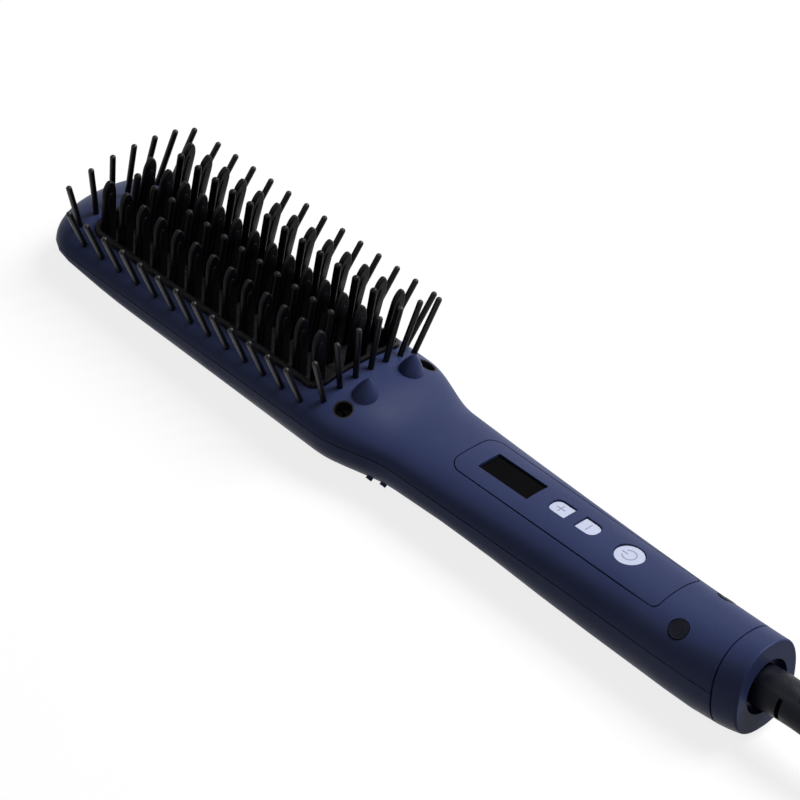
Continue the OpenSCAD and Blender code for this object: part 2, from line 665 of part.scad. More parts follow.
// Swivel: the core turns in the cap, and two rings bring the current to it
housing_rear = cap_len + seat_depth - rest_gap;
housing_front = flange_rear + 2 * rest_gap;
housing_floor = 1.5;
housing_hole_r = 2.2;
core_bore_r = 1.6;
core_rear = 18;
tail_r = 3.2;
ring_r = 5;
ring_at = [11, 15];
ring_t = 2;
ring_fit = 0.03;
spring_w = 2.4;
spring_gap = 0.1;
spring_seat = 0.2;
bore_r = 7;
module swivel_housing() color(soot) turned([[housing_hole_r, -housing_rear], [seat_d / 2, -housing_rear],
    [seat_d / 2, -housing_front], [bore_r, -housing_front], [bore_r, housing_floor - housing_rear],
    [housing_hole_r, housing_floor - housing_rear]]);
module swivel_core() color(soot) turned([[core_bore_r, -core_rear], [tail_r, -core_rear], [tail_r, -flange_rear],
    [flange_d / 2, -flange_rear], [flange_d / 2, -flange_front], [core_d / 2, -flange_front], [core_d / 2, -recess],
    [core_bore_r, -recess]]);
module contact_rings() color(brass) for (x = ring_at)
    turned([[tail_r + ring_fit, -x - ring_t], [ring_r, -x - ring_t], [ring_r, -x], [tail_r + ring_fit, -x]]);
module contact_springs() color(brass) on_axis() for (x = ring_at)
    translate([-x - ring_t, -spring_w / 2, ring_r + spring_gap])
        cube([ring_t, spring_w, bore_r - ring_r - spring_gap - spring_seat]);

// A tube through given points: a ring stands square to the route at each point
function unit(v) = v / norm(v);
function heading(route, i) = let (n = len(route) - 1)
    i == 0 ? unit(route[1] - route[0]) : i == n ? unit(route[n] - route[n - 1])
    : unit(unit(route[i] - route[i - 1]) + unit(route[i + 1] - route[i]));
function ring_round(c, t, r, sides) = let (u = unit(cross([0, 0, 1], t)), v = cross(t, u))
    [for (k = [0:sides - 1]) let (a = 360 * (k + 0.5) / sides) c + r * (cos(a) * u + sin(a) * v)];
module tube(route, d, sides) skin_over([for (i = [0:len(route) - 1]) ring_round(route[i], heading(route, i), d / 2, sides)]);

// Guard: straight at the cap, then a steady bend down while it tapers; slots let it flex
guard_straight = 6;
guard_bend_r = (guard_len - guard_straight) / (guard_bend * PI / 180);
function guard_route(s) = let (a = max(0, s - guard_straight) / guard_bend_r * 180 / PI)
    [min(s, guard_straight) + guard_bend_r * sin(a) - recess, 0, -guard_bend_r * (1 - cos(a))];
function guard_r(s) = (guard_d + (guard_end_d - guard_d) * ease((s - 4) / (guard_len - 4))) / 2;
function from_axis(p) = [x_end + p[0] * cos(end_tilt) - p[2] * sin(end_tilt), p[1], axis_h + p[0] * sin(end_tilt) + p[2] * cos(end_tilt)];
guard_steps = 22;
guard_points = [for (i = [0:guard_steps]) guard_route(guard_len * i / guard_steps)];
slots = 6;
slot_first = 11;
slot_step = 4.8;
slot_w = 1.4;
slot_span = 6.8;
slot_root = 0.6;
module guard_slot(s, way) {
    a = max(0, s - guard_straight) / guard_bend_r * 180 / PI;
    translate(guard_route(s)) rotate([0, a, 0]) rotate([way, 0, 0])
        translate([-slot_w / 2, cord_d / 2 + slot_root, -slot_span / 2]) cube([slot_w, guard_d, slot_span]);
}
module cord_guard() color(soot) on_axis() difference() {
    skin_over([for (i = [0:guard_steps]) ring_round(guard_points[i], heading(guard_points, i), guard_r(guard_len * i / guard_steps), 20)]);
    for (i = [0:slots - 1]) for (way = i % 2 == 0 ? [0, 180] : [90, 270]) guard_slot(slot_first + slot_step * i, way);
}

// Cord: it falls from the guard to the surface, lies in a coil of four layers and ends in the plug
guard_tip = from_axis(guard_points[guard_steps]);
fall = guard_bend - end_tilt;
coil_mid = [206, coil_r];
coil_entry = [200, 0, cord_d / 2];
lead_route = [guard_tip, guard_tip + cord_d * [cos(fall), 0, -sin(fall)], [184.5, 0, 4.1], [189.5, 0, 3.2], [194, 0, 3], coil_entry];
coil_layers = 4;
layer_turns = 2;
climb_turns = 0.5;
coil_step = cord_d + 0.7;
layer_step = cord_d + 0.6;
coil_swing = 1.5;
coil_rings = 24;
stage_turns = layer_turns + climb_turns;
coil_turns = coil_layers * stage_turns - climb_turns;
function coil_stage(t) = min(coil_layers - 1, floor(t / stage_turns));
function coil_point(t) = let (stage = coil_stage(t), u = t - stage * stage_turns, f = max(0, u - layer_turns) / climb_turns,
    inward = stage % 2 == 0, run = coil_step * min(u, layer_turns), far = coil_step * layer_turns,
    r = inward ? coil_r - run - coil_swing * sin(180 * f) : coil_r - far + run + coil_swing * sin(180 * f),
    a = 360 * t - 90)
    [coil_mid[0] + r * cos(a), coil_mid[1] + r * sin(a), cord_d / 2 + layer_step * (stage + ease(f))];
coil_loops = [for (i = [0:coil_turns * coil_rings]) coil_point(i / coil_rings)];
coil_exit = coil_point(coil_turns) - [cord_d, 0, 0];
coil_route = concat([coil_entry], coil_loops, [coil_exit]);
coil_gap = min([for (i = [0:len(coil_loops) - 1], j = [i + coil_rings / 2:len(coil_loops) - 1]) norm(coil_loops[i] - coil_loops[j])]) - cord_d;
echo(coil_gap = coil_gap);
plug_l = 26;
plug_w = 23;
plug_t = 16;
plug_face = [152, coil_exit[1] - 8, plug_t / 2];
// The tail leaves the coil straight, swerves down and aside in two equal arcs, and meets the plug straight
tail_from = coil_exit - [cord_d / 2, 0, 0];
tail_to = plug_face + [cord_d, 0, 0];
tail_run = tail_from[0] - tail_to[0];
tail_shift = [0, tail_to[1] - tail_from[1], tail_to[2] - tail_from[2]];
swerve_turn = 2 * atan(norm(tail_shift) / tail_run);
swerve_r = tail_run / (2 * sin(swerve_turn));
swerve_steps = 5;
function swerve(i) = let (a = swerve_turn * i / swerve_steps) swerve_r * ((1 - cos(a)) * unit(tail_shift) - [sin(a), 0, 0]);
tail_route = concat([coil_exit, tail_from], [for (i = [1:swerve_steps]) tail_from + swerve(i)],
    [for (i = [swerve_steps - 1:-1:1]) tail_to - swerve(i)], [tail_to, plug_face]);
module cord_lead() color(soot) tube(lead_route, cord_d, 8);
module cord_coil() color(soot) tube(coil_route, cord_d, 6);
module cord_tail() color(soot) tube(tail_route, cord_d, 8);
blade_gauge = 12.7;
blade_size = [17.5, 1.5, 6.3];
blade_seat = 6;
module plug_body() color(soot) translate(plug_face) difference() {
    rotate([0, -90, 0]) linear_extrude(plug_l) rounded_rect(plug_t, plug_w, 4);
    for (s = [-1, 1]) translate([-plug_l - 1, s * blade_gauge / 2 - blade_size[1] / 2 - 0.05, -blade_size[2] / 2 - 0.05])
        cube([blade_seat + 1, blade_size[1] + 0.1, blade_size[2] + 0.1]);
}
module plug_blades() color(brass) translate(plug_face) for (s = [-1, 1])
    translate([blade_seat - plug_l - blade_seat - blade_size[0], s * blade_gauge / 2 - blade_size[1] / 2, -blade_size[2] / 2])
    cube([blade_size[0] + blade_seat, blade_size[1], blade_size[2]]);

upper_shell();
back_shell();
end_cap();
bed_frame();
heat_plate();
blades_near();
blades_middle();
blades_far();
rods_near();
rods_far();
pins_near();
pins_far();
pins_tip();
pins_shoulder();
heater_bars();
heater_clamp();
thermal_fuse();
outlet_tubes();
outlet_needles();
ion_module();
control_panel();
display_lens();
display_module();
button_plus();
button_minus();
button_power();
switches();
main_board();
power_board();
filter_capacitor();
screw_plugs();
housing_screws();
swivel_housing();
contact_springs();
swivel_core();
contact_rings();
cord_guard();
cord_lead();
cord_coil();
cord_tail();
plug_body();
plug_blades();
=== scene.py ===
import math
import bpy
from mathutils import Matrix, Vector


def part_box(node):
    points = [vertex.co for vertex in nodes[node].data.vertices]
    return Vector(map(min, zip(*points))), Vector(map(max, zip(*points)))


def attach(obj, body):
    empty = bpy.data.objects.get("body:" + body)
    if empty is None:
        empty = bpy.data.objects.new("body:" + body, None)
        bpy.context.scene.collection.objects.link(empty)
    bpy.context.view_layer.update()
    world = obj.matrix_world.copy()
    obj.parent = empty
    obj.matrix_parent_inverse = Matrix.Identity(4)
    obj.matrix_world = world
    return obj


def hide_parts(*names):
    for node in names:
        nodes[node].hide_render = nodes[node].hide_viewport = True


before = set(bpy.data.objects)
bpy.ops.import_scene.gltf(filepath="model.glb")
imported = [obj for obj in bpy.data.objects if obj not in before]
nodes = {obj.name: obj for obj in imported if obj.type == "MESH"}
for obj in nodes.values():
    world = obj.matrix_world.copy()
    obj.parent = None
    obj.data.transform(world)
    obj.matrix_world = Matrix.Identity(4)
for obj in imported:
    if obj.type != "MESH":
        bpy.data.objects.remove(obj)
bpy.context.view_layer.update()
scene = bpy.context.scene
print("frame loaded with", len(nodes), "nodes")

# camera, at the photograph's viewing angle
camera = {"lens": 217.795, "place": (0.620843, -0.867251, 0.871813), "turn": (0.88734, -0.171484, 0.765672)}
bpy.ops.object.camera_add(location=camera["place"], rotation=camera["turn"])
scene.camera = bpy.context.object
scene.camera.data.lens = camera["lens"]
scene.camera.data.clip_end = 20
scene.view_settings.view_transform = "Standard"
print("camera placed")

mm = 0.001


def deselectAll():
    if bpy.context.object and bpy.context.object.mode != "OBJECT":
        bpy.ops.object.mode_set(mode="OBJECT")
    bpy.ops.object.select_all(action="DESELECT")


def pickOnly(piece):
    deselectAll()
    piece.select_set(True)
    bpy.context.view_layer.objects.active = piece


# cord: the same route as the solid's, from the guard's tip through the coil to the plug
cordRoute = {
    "thick": 6, "endFace": 131.92, "axisHeight": 16.8, "tilt": 8, "recess": 2.6,
    "guardLength": 44, "guardStraight": 6, "guardBend": 38,
    "coilMiddle": (206, 37.5), "coilRadius": 37.5, "entry": (200, 0, 3),
    "layers": 4, "layerTurns": 2, "climbTurns": 0.5, "step": 6.7, "rise": 6.6, "swing": 1.5, "perTurn": 48,
    "toCoil": [(184.5, 0, 4.1), (189.5, 0, 3.2), (194, 0, 3)],
    "plugFace": (152, 67, 8), "swerveSteps": 5,
}


def easeStep(t):
    u = min(1, max(0, t))
    return u * u * (3 - 2 * u)


def coilPoint(t):
    c = cordRoute
    stageTurns = c["layerTurns"] + c["climbTurns"]
    stage = min(c["layers"] - 1, int(t / stageTurns + 1e-9))
    u = t - stage * stageTurns
    f = max(0, u - c["layerTurns"]) / c["climbTurns"]
    run = c["step"] * min(u, c["layerTurns"])
    bulge = c["swing"] * math.sin(math.pi * f)
    if stage % 2 == 0:
        r = c["coilRadius"] - run - bulge
    else:
        r = c["coilRadius"] - c["step"] * c["layerTurns"] + run + bulge
    a = 2 * math.pi * t - math.pi / 2
    return (c["coilMiddle"][0] + r * math.cos(a), c["coilMiddle"][1] + r * math.sin(a),
            c["thick"] / 2 + c["rise"] * (stage + easeStep(f)))


def swerve(leave):
    # from the coil to the plug: straight, two equal arcs down and aside, straight
    c = cordRoute
    face = Vector(c["plugFace"])
    start, end = leave - Vector((c["thick"] / 2, 0, 0)), face + Vector((c["thick"], 0, 0))
    aside = Vector((0, end.y - start.y, end.z - start.z))
    turn = 2 * math.atan(aside.length / (start.x - end.x))
    radius = (start.x - end.x) / (2 * math.sin(turn))
    arc = []
    for i in range(1, c["swerveSteps"] + 1):
        a = turn * i / c["swerveSteps"]
        arc.append(aside.normalized() * radius * (1 - math.cos(a)) - Vector((radius * math.sin(a), 0, 0)))
    return [start] + [start + p for p in arc] + [end - p for p in arc[-2::-1]] + [end, face]


def cordPoints():
    c = cordRoute
    bendRadius = (c["guardLength"] - c["guardStraight"]) / math.radians(c["guardBend"])
    bend = math.radians(c["guardBend"])
    along = c["guardStraight"] + bendRadius * math.sin(bend) - c["recess"]
    down = -bendRadius * (1 - math.cos(bend))
    tilt = math.radians(c["tilt"])
    tip = (c["endFace"] + along * math.cos(tilt) - down * math.sin(tilt), 0,
           c["axisHeight"] + along * math.sin(tilt) + down * math.cos(tilt))
    fall = math.radians(c["guardBend"] - c["tilt"])
    turns = c["layers"] * (c["layerTurns"] + c["climbTurns"]) - c["climbTurns"]
    loops = [coilPoint(i / c["perTurn"]) for i in range(int(turns * c["perTurn"]) + 1)]
    last = loops[-1]
    leave = Vector((last[0] - c["thick"], last[1], last[2]))
    route = [tip, (tip[0] + c["thick"] * math.cos(fall), 0, tip[2] - c["thick"] * math.sin(fall))]
    route += c["toCoil"] + [c["entry"]] + loops + [leave] + swerve(leave)
    return [tuple(v * mm for v in p) for p in route]


path = cordPoints()
cordShape = bpy.data.curves.new("cordLine", "CURVE")
cordShape.dimensions = "3D"
cordShape.bevel_depth = 1
cordShape.bevel_resolution = 6
spline = cordShape.splines.new("POLY")
spline.points.add(len(path) - 1)
for point, place in zip(spline.points, path):
    point.co = (*place, 1)
    point.radius = cordRoute["thick"] / 2 * mm
spline.use_smooth = True
cordLine = bpy.data.objects.new("cordLine", cordShape)
scene.collection.objects.link(cordLine)
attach(cordLine, "cord_end")
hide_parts("cord_lead", "cord_coil", "cord_tail")

# shared shader nodes and groups


def put(tree, kind, inputs=None, **settings):
    node = tree.nodes.new(kind)
    for key, value in settings.items():
        setattr(node, key, value)
    for key, value in (inputs or {}).items():
        if isinstance(value, bpy.types.NodeSocket):
            tree.links.new(value, node.inputs[key])
        else:
            node.inputs[key].default_value = value
    return node


def spread(tree, value, low, high, least=0, most=1):
    # low to high become least to most
    ends = {"Value": value, "From Min": low, "From Max": high, "To Min": least, "To Max": most}
    return put(tree, "ShaderNodeMapRange", ends).outputs["Result"]


def times(tree, value, amount):
    return put(tree, "ShaderNodeMath", {0: value, 1: amount}, operation="MULTIPLY").outputs[0]


def larger(tree, a, b):
    return put(tree, "ShaderNodeMath", {0: a, 1: b}, operation="MAXIMUM").outputs[0]


def objectPlace(tree):
    return put(tree, "ShaderNodeTexCoord").outputs["Object"]


def noise(tree, where, scale, detail, rough=0.5):
    inputs = {"Vector": where, "Scale": scale, "Detail": detail, "Roughness": rough}
    return put(tree, "ShaderNodeTexNoise", inputs).outputs["Fac"]


def startGroup(name, inputs, outputs):
    group = bpy.data.node_groups.new(name, "ShaderNodeTree")
    for label, value in inputs.items():
        socket = group.interface.new_socket(label, in_out="INPUT", socket_type="NodeSocketFloat")
        socket.default_value = value
    for label in outputs:
        group.interface.new_socket(label, in_out="OUTPUT", socket_type="NodeSocketFloat")
    return group, group.nodes.new("NodeGroupInput"), group.nodes.new("NodeGroupOutput")


def finishGroup(group, result, values):
    for label, value in values.items():
        group.links.new(value, result.inputs[label])
    return group


def makeMouldGrain():
    # moulded plastic: a fine spark-eroded grain and slow cloudy patches of polish
    group, given, result = startGroup("mouldGrain", {"Grain Scale": 3600, "Cloud Scale": 45},
                                      ["Height", "Cloud"])
    where, scale = objectPlace(group), given.outputs["Grain Scale"]
    fine = noise(group, where, scale, 3, 0.6)
    pits = put(group, "ShaderNodeTexVoronoi", {"Vector": where, "Scale": scale}, feature="SMOOTH_F1")
    both = put(group, "ShaderNodeMath", {0: fine, 1: pits.outputs["Distance"]}, operation="ADD")
    cloud = noise(group, where, given.outputs["Cloud Scale"], 4)
    return finishGroup(group, result, {"Height": both.outputs[0], "Cloud": spread(group, cloud, 0.32, 0.68)})


def makeEdgeRubAndRimLight():
    # handled edges, partly real wear and partly a painted highlight along the rims: a mask where the rounded
    # normal leaves the flat one, broken up by noise
    group, given, result = startGroup("edgeRubAndRimLight", {"Reach": 0.0004, "Patch Scale": 300}, ["Mask"])
    soft = put(group, "ShaderNodeBevel", {"Radius": given.outputs["Reach"]}, samples=4).outputs["Normal"]
    flat = put(group, "ShaderNodeNewGeometry").outputs["Normal"]
    agree = put(group, "ShaderNodeVectorMath", {0: soft, 1: flat}, operation="DOT_PRODUCT").outputs["Value"]
    patch = noise(group, objectPlace(group), given.outputs["Patch Scale"], 5)
    mask = times(group, spread(group, agree, 0.995, 0.8), spread(group, patch, 0.3, 0.6))
    return finishGroup(group, result, {"Mask": mask})


def makeDustVeil():
    # a little dust on what faces up
    group, given, result = startGroup("dustVeil", {"Speck Scale": 900}, ["Mask"])
    normal = put(group, "ShaderNodeNewGeometry").outputs["Normal"]
    upward = put(group, "ShaderNodeSeparateXYZ", {"Vector": normal}).outputs["Z"]
    speck = noise(group, objectPlace(group), given.outputs["Speck Scale"], 6, 0.7)
    mask = times(group, spread(group, upward, 0.5, 1), spread(group, speck, 0.5, 0.75))
    return finishGroup(group, result, {"Mask": mask})


def makeDrawnLines():
    # drawn or brushed metal: noise pulled out along X
    group, given, result = startGroup("drawnLines", {"Line Scale": 1800}, ["Height", "Streak"])
    pulled = put(group, "ShaderNodeMapping", {"Vector": objectPlace(group), "Scale": (0.03, 1, 1)})
    lines = noise(group, pulled.outputs["Vector"], given.outputs["Line Scale"], 4)
    return finishGroup(group, result, {"Height": lines, "Streak": spread(group, lines, 0.35, 0.65)})


mouldGrain, edgeRubAndRimLight, dustVeil, drawnLines = makeMouldGrain(), makeEdgeRubAndRimLight(), makeDustVeil(), makeDrawnLines()


def useGroup(tree, group, values=None):
    return put(tree, "ShaderNodeGroup", values, node_tree=group)


def startMaterial(name):
    material = bpy.data.materials.new(name)
    material.use_nodes = True
    return material, material.node_tree, material.node_tree.nodes["Principled BSDF"]


def blend(tree, factor, a, b):
    node = put(tree, "ShaderNodeMix", data_type="RGBA")
    tree.links.new(factor, node.inputs["Factor"])
    for slot, colour in ((6, a), (7, b)):
        if isinstance(colour, bpy.types.NodeSocket):
            tree.links.new(colour, node.inputs[slot])
        else:
            node.inputs[slot].default_value = (*colour, 1)
    return node.outputs[2]


def finishSurface(tree, shader, colour, cloud, rough, height, depth, distance):
    # the cloud moves the roughness between two values, the height makes the bump
    bump = put(tree, "ShaderNodeBump", {"Height": height, "Strength": depth, "Distance": distance})
    tree.links.new(colour, shader.inputs["Base Color"])
    tree.links.new(spread(tree, cloud, 0, 1, *rough), shader.inputs["Roughness"])
    tree.links.new(bump.outputs["Normal"], shader.inputs["Normal"])


dustColour = (0.45, 0.44, 0.43)


def mouldedPlastic(name, finish):
    material, tree, shader = startMaterial(name)
    grain = useGroup(tree, mouldGrain, {"Grain Scale": finish["grain"], "Cloud Scale": finish["cloud"]})
    rubAndRimLight = useGroup(tree, edgeRubAndRimLight, {"Reach": finish["reach"]})
    dust = useGroup(tree, dustVeil)
    cloud, height = grain.outputs["Cloud"], grain.outputs["Height"]
    colour = blend(tree, cloud, finish["colour"], finish["shade"])
    # edges take a lighter colour: partly wear, partly a painted highlight along the rims
    colour = blend(tree, times(tree, rubAndRimLight.outputs["Mask"], finish["rubAndRimLight"]), colour, finish["rubbedAndLit"])
    colour = blend(tree, times(tree, dust.outputs["Mask"], finish["dust"]), colour, dustColour)
    finishSurface(tree, shader, colour, cloud, finish["rough"], height, finish["depth"], 0.00006)
    shader.inputs["Specular IOR Level"].default_value = finish["gloss"]
    return material


def metal(name, finish):
    material, tree, shader = startMaterial(name)
    lines = useGroup(tree, drawnLines, {"Line Scale": finish["lines"]})
    grain = useGroup(tree, mouldGrain, {"Grain Scale": 2500, "Cloud Scale": 120})
    streak, height = lines.outputs["Streak"], lines.outputs["Height"]
    colour = blend(tree, streak, finish["colour"], finish["shade"])
    colour = blend(tree, times(tree, grain.outputs["Cloud"], 0.35), colour, finish["stain"])
    finishSurface(tree, shader, colour, streak, finish["rough"], height, 0.25, 0.00004)
    shader.inputs["Metallic"].default_value = 1
    return material


def circuitBoard(name):
    # solder mask: a brick pattern stands for the traces, with round pads scattered over it
    material, tree, shader = startMaterial(name)
    where = objectPlace(tree)
    bricks = {"Vector": where, "Scale": 260, "Mortar Size": 0.03, "Brick Width": 0.9, "Row Height": 0.3,
              "Color1": (0.02, 0.16, 0.07, 1), "Color2": (0.03, 0.2, 0.09, 1),
              "Mortar": (0.012, 0.1, 0.045, 1)}
    traces = put(tree, "ShaderNodeTexBrick", bricks)
    pads = put(tree, "ShaderNodeTexVoronoi", {"Vector": where, "Scale": 420})
    solder = spread(tree, pads.outputs["Distance"], 0.16, 0.12)
    grain = useGroup(tree, mouldGrain, {"Grain Scale": 2600, "Cloud Scale": 150})
    colour = blend(tree, solder, traces.outputs["Color"], (0.55, 0.56, 0.58))
    finishSurface(tree, shader, colour, grain.outputs["Cloud"], (0.3, 0.45), solder, 0.4, 0.0001)
    tree.links.new(solder, shader.inputs["Metallic"])
    return material


def windowPane(name):
    # black gloss window with faint smears
    material, tree, shader = startMaterial(name)
    smear = useGroup(tree, mouldGrain, {"Grain Scale": 700, "Cloud Scale": 90}).outputs["Cloud"]
    colour = blend(tree, smear, (0.0012, 0.0012, 0.0016), (0.002, 0.002, 0.0026))
    finishSurface(tree, shader, colour, smear, (0.08, 0.2), smear, 0.05, 0.00005)
    shader.inputs["Specular IOR Level"].default_value = 0.015
    return material


# each finish's rubbed colour is lighter: worn edges together with a painted rim highlight
finishes = {
    "navySoftTouch": {
        "colour": (0.0275, 0.038, 0.102), "shade": (0.0225, 0.0315, 0.09), "rubbedAndLit": (0.045, 0.055, 0.13),
        "rubAndRimLight": 0.4, "reach": 0.0004, "dust": 0.012, "grain": 4200, "cloud": 38, "rough": (0.36, 0.46),
        "depth": 0.3, "gloss": 0.1},
    "blackBed": {
        "colour": (0.002, 0.002, 0.003), "shade": (0.003, 0.003, 0.0045), "rubbedAndLit": (0.02, 0.021, 0.03),
        "rubAndRimLight": 0.5, "reach": 0.0003, "dust": 0.01, "grain": 4600, "cloud": 90, "rough": (0.34, 0.46),
        "depth": 0.25, "gloss": 0.12},
    "toothBlack": {
        "colour": (0.0016, 0.0016, 0.0026), "shade": (0.0026, 0.0026, 0.004),
        "rubbedAndLit": (0.022, 0.023, 0.034), "rubAndRimLight": 0.5, "reach": 0.0002, "dust": 0.006, "grain": 5200,
        "cloud": 140, "rough": (0.28, 0.4), "depth": 0.2, "gloss": 0.12},
    "pinBlack": {
        "colour": (0.002, 0.002, 0.0034), "shade": (0.0034, 0.0034, 0.005), "rubbedAndLit": (0.02, 0.021, 0.03),
        "rubAndRimLight": 0.3, "reach": 0.0002, "dust": 0.006, "grain": 5200, "cloud": 160, "rough": (0.26, 0.38),
        "depth": 0.2, "gloss": 0.28},
    "keySilver": {
        "colour": (0.5, 0.54, 0.69), "shade": (0.45, 0.49, 0.64), "rubbedAndLit": (0.68, 0.7, 0.82), "rubAndRimLight": 0.5,
        "reach": 0.0003, "dust": 0.04, "grain": 5600, "cloud": 160, "rough": (0.3, 0.4), "depth": 0.15,
        "gloss": 0.5},
    # outlet tubes: their own black plastic, made near black so the holes show as painted shade
    "outletBlackAndShade": {
        "colour": (0.0016, 0.0016, 0.0022), "shade": (0.0024, 0.0024, 0.003),
        "rubbedAndLit": (0.012, 0.012, 0.016), "rubAndRimLight": 0.3, "reach": 0.0002, "dust": 0.0, "grain": 5000,
        "cloud": 200, "rough": (0.5, 0.6), "depth": 0.2, "gloss": 0.25},
    "markGrey": {
        "colour": (0.27, 0.29, 0.39), "shade": (0.23, 0.25, 0.35), "rubbedAndLit": (0.45, 0.47, 0.56),
        "rubAndRimLight": 0.4, "reach": 0.0001, "dust": 0.02, "grain": 5600, "cloud": 300, "rough": (0.4, 0.5),
        "depth": 0.1, "gloss": 0.5},
    "screwPlugRubber": {
        "colour": (0.005, 0.006, 0.012), "shade": (0.008, 0.009, 0.017), "rubbedAndLit": (0.02, 0.022, 0.034),
        "rubAndRimLight": 0.4, "reach": 0.0003, "dust": 0.02, "grain": 3400, "cloud": 240, "rough": (0.5, 0.62),
        "depth": 0.4, "gloss": 0.08},
    "guardRubber": {
        "colour": (0.004, 0.005, 0.01), "shade": (0.007, 0.008, 0.015), "rubbedAndLit": (0.02, 0.022, 0.034),
        "rubAndRimLight": 0.4, "reach": 0.0004, "dust": 0.02, "grain": 3000, "cloud": 110, "rough": (0.3, 0.42),
        "depth": 0.45, "gloss": 0.14},
    "cordRubber": {
        "colour": (0.005, 0.0055, 0.009), "shade": (0.008, 0.0085, 0.013), "rubbedAndLit": (0.02, 0.02, 0.028),
        "rubAndRimLight": 0.2, "reach": 0.0003, "dust": 0.02, "grain": 2600, "cloud": 60, "rough": (0.4, 0.52),
        "depth": 0.4, "gloss": 0.15},
    "plugMould": {
        "colour": (0.005, 0.0055, 0.009), "shade": (0.008, 0.0085, 0.013), "rubbedAndLit": (0.025, 0.025, 0.034),
        "rubAndRimLight": 0.5, "reach": 0.0006, "dust": 0.02, "grain": 2800, "cloud": 80, "rough": (0.4, 0.52),
        "depth": 0.45, "gloss": 0.15},
    "innerBlack": {
        "colour": (0.018, 0.018, 0.021), "shade": (0.028, 0.028, 0.032), "rubbedAndLit": (0.07, 0.07, 0.08),
        "rubAndRimLight": 0.3, "reach": 0.0003, "dust": 0.05, "grain": 3600, "cloud": 120, "rough": (0.45, 0.6),
        "depth": 0.3, "gloss": 0.45},
}
metals = {
    "coatedPlate": {"colour": (0.016, 0.016, 0.018), "shade": (0.026, 0.026, 0.028),
                    "stain": (0.012, 0.012, 0.012), "lines": 1500, "rough": (0.42, 0.6)},
    "sheetSteel": {"colour": (0.62, 0.62, 0.64), "shade": (0.48, 0.48, 0.5), "stain": (0.4, 0.38, 0.34),
                   "lines": 2200, "rough": (0.24, 0.42)},
    # the ion needles are painted near black, as painted shade deep inside the outlet holes
    "needleInPaintedShade": {"colour": (0.01, 0.01, 0.012), "shade": (0.018, 0.018, 0.02),
                    "stain": (0.006, 0.005, 0.005), "lines": 3000, "rough": (0.4, 0.55)},
    "contactBrass": {"colour": (0.78, 0.6, 0.28), "shade": (0.66, 0.48, 0.2), "stain": (0.42, 0.3, 0.14),
                     "lines": 2600, "rough": (0.2, 0.36)},
}
stuff = {name: mouldedPlastic(name, finish) for name, finish in finishes.items()}
stuff.update({name: metal(name, finish) for name, finish in metals.items()})
stuff["solderMask"] = circuitBoard("solderMask")
stuff["windowBlack"] = windowPane("windowBlack")
print("materials made:", len(stuff))


def dress(piece, finish):
    piece.data.materials.clear()
    piece.data.materials.append(stuff[finish])


cordLine.data.materials.append(stuff["cordRubber"])

# pieces that keep the solid's own mesh
nodeFinish = {
    "heat_plate": "coatedPlate", "heater_bars": "coatedPlate", "heater_clamp": "sheetSteel",
    "thermal_fuse": "sheetSteel",
    "rods_near": "toothBlack", "rods_far": "toothBlack", "pins_near": "pinBlack", "pins_far": "pinBlack",
    "pins_tip": "pinBlack", "pins_shoulder": "pinBlack", "outlet_needles": "needleInPaintedShade",
    "ion_module": "innerBlack", "display_module": "solderMask", "switches": "sheetSteel",
    "main_board": "solderMask", "power_board": "solderMask", "filter_capacitor": "innerBlack",
    "housing_screws": "sheetSteel",
    "swivel_housing": "innerBlack", "contact_springs": "contactBrass", "swivel_core": "innerBlack",
    "contact_rings": "contactBrass", "plug_blades": "contactBrass",
}
for node, finish in nodeFinish.items():
    dress(nodes[node], finish)

# the housing's form, the same curves as the solids' but finer
form = {
    "tip": -134, "tipEnd": -133.916, "nose": 15.3, "headLength": 116.4, "neckLength": 25, "headWidth": 48.8,
    "headHeight": 21.8, "seamHeight": 11.3, "headPitch": 1.8, "headMiddle": -70.64, "headZ": 16.5815,
    "neckWidth": 35.8, "gripWidth": 29.6, "neckHeight": 21.6, "panelPitch": 3.2, "panelMiddle": 35.4,
    "panelZ": 23.1654,
    "flare": 2.7, "endDraw": 2.2, "rear": 34, "endFace": cordRoute["endFace"],
    "axisHeight": cordRoute["axisHeight"], "endTilt": cordRoute["tilt"],
    "capLength": 8.6,
    "seamSlope": 0.0147, "blend": 3, "power": 2.3, "nosePower": 2.2, "slimPower": 1.3, "halfGap": 0.08,
    "edge": 0.12, "wall": 2.2, "around": 72, "headStep": 4, "neckStep": 1, "gripStep": 2.5, "lastStep": 0.8,
    "grooveWide": 0.22, "grooveDeep": 0.2,
}
shoulderX = form["tip"] + form["headLength"]
neckX = shoulderX + form["neckLength"]
noseX = form["tip"] + form["nose"]
flareX = form["endFace"] - form["rear"]


def arcOut(t, power):
    return 1 if t <= 0 else max(0, 1 - min(1, t) ** power) ** (1 / power)


def rearShare(x):
    return max(0, (x - flareX) / form["rear"])


def halfWidth(x, nose):
    slim = max(0, 1 - max(0, x - neckX) / (flareX - neckX)) ** form["slimPower"]
    grip = form["gripWidth"] / 2 + (form["neckWidth"] - form["gripWidth"]) / 2 * slim
    head = form["headWidth"] / 2
    body = head + (grip - head) * easeStep((x - shoulderX) / form["neckLength"])
    return nose * body - form["endDraw"] * rearShare(x) ** 2


def seamAt(x):
    slope = math.tan(math.radians(form["headPitch"]))
    rise = (min(x, shoulderX) - form["headMiddle"]) * slope
    return form["seamHeight"] + rise + max(0, x - shoulderX) * form["seamSlope"]


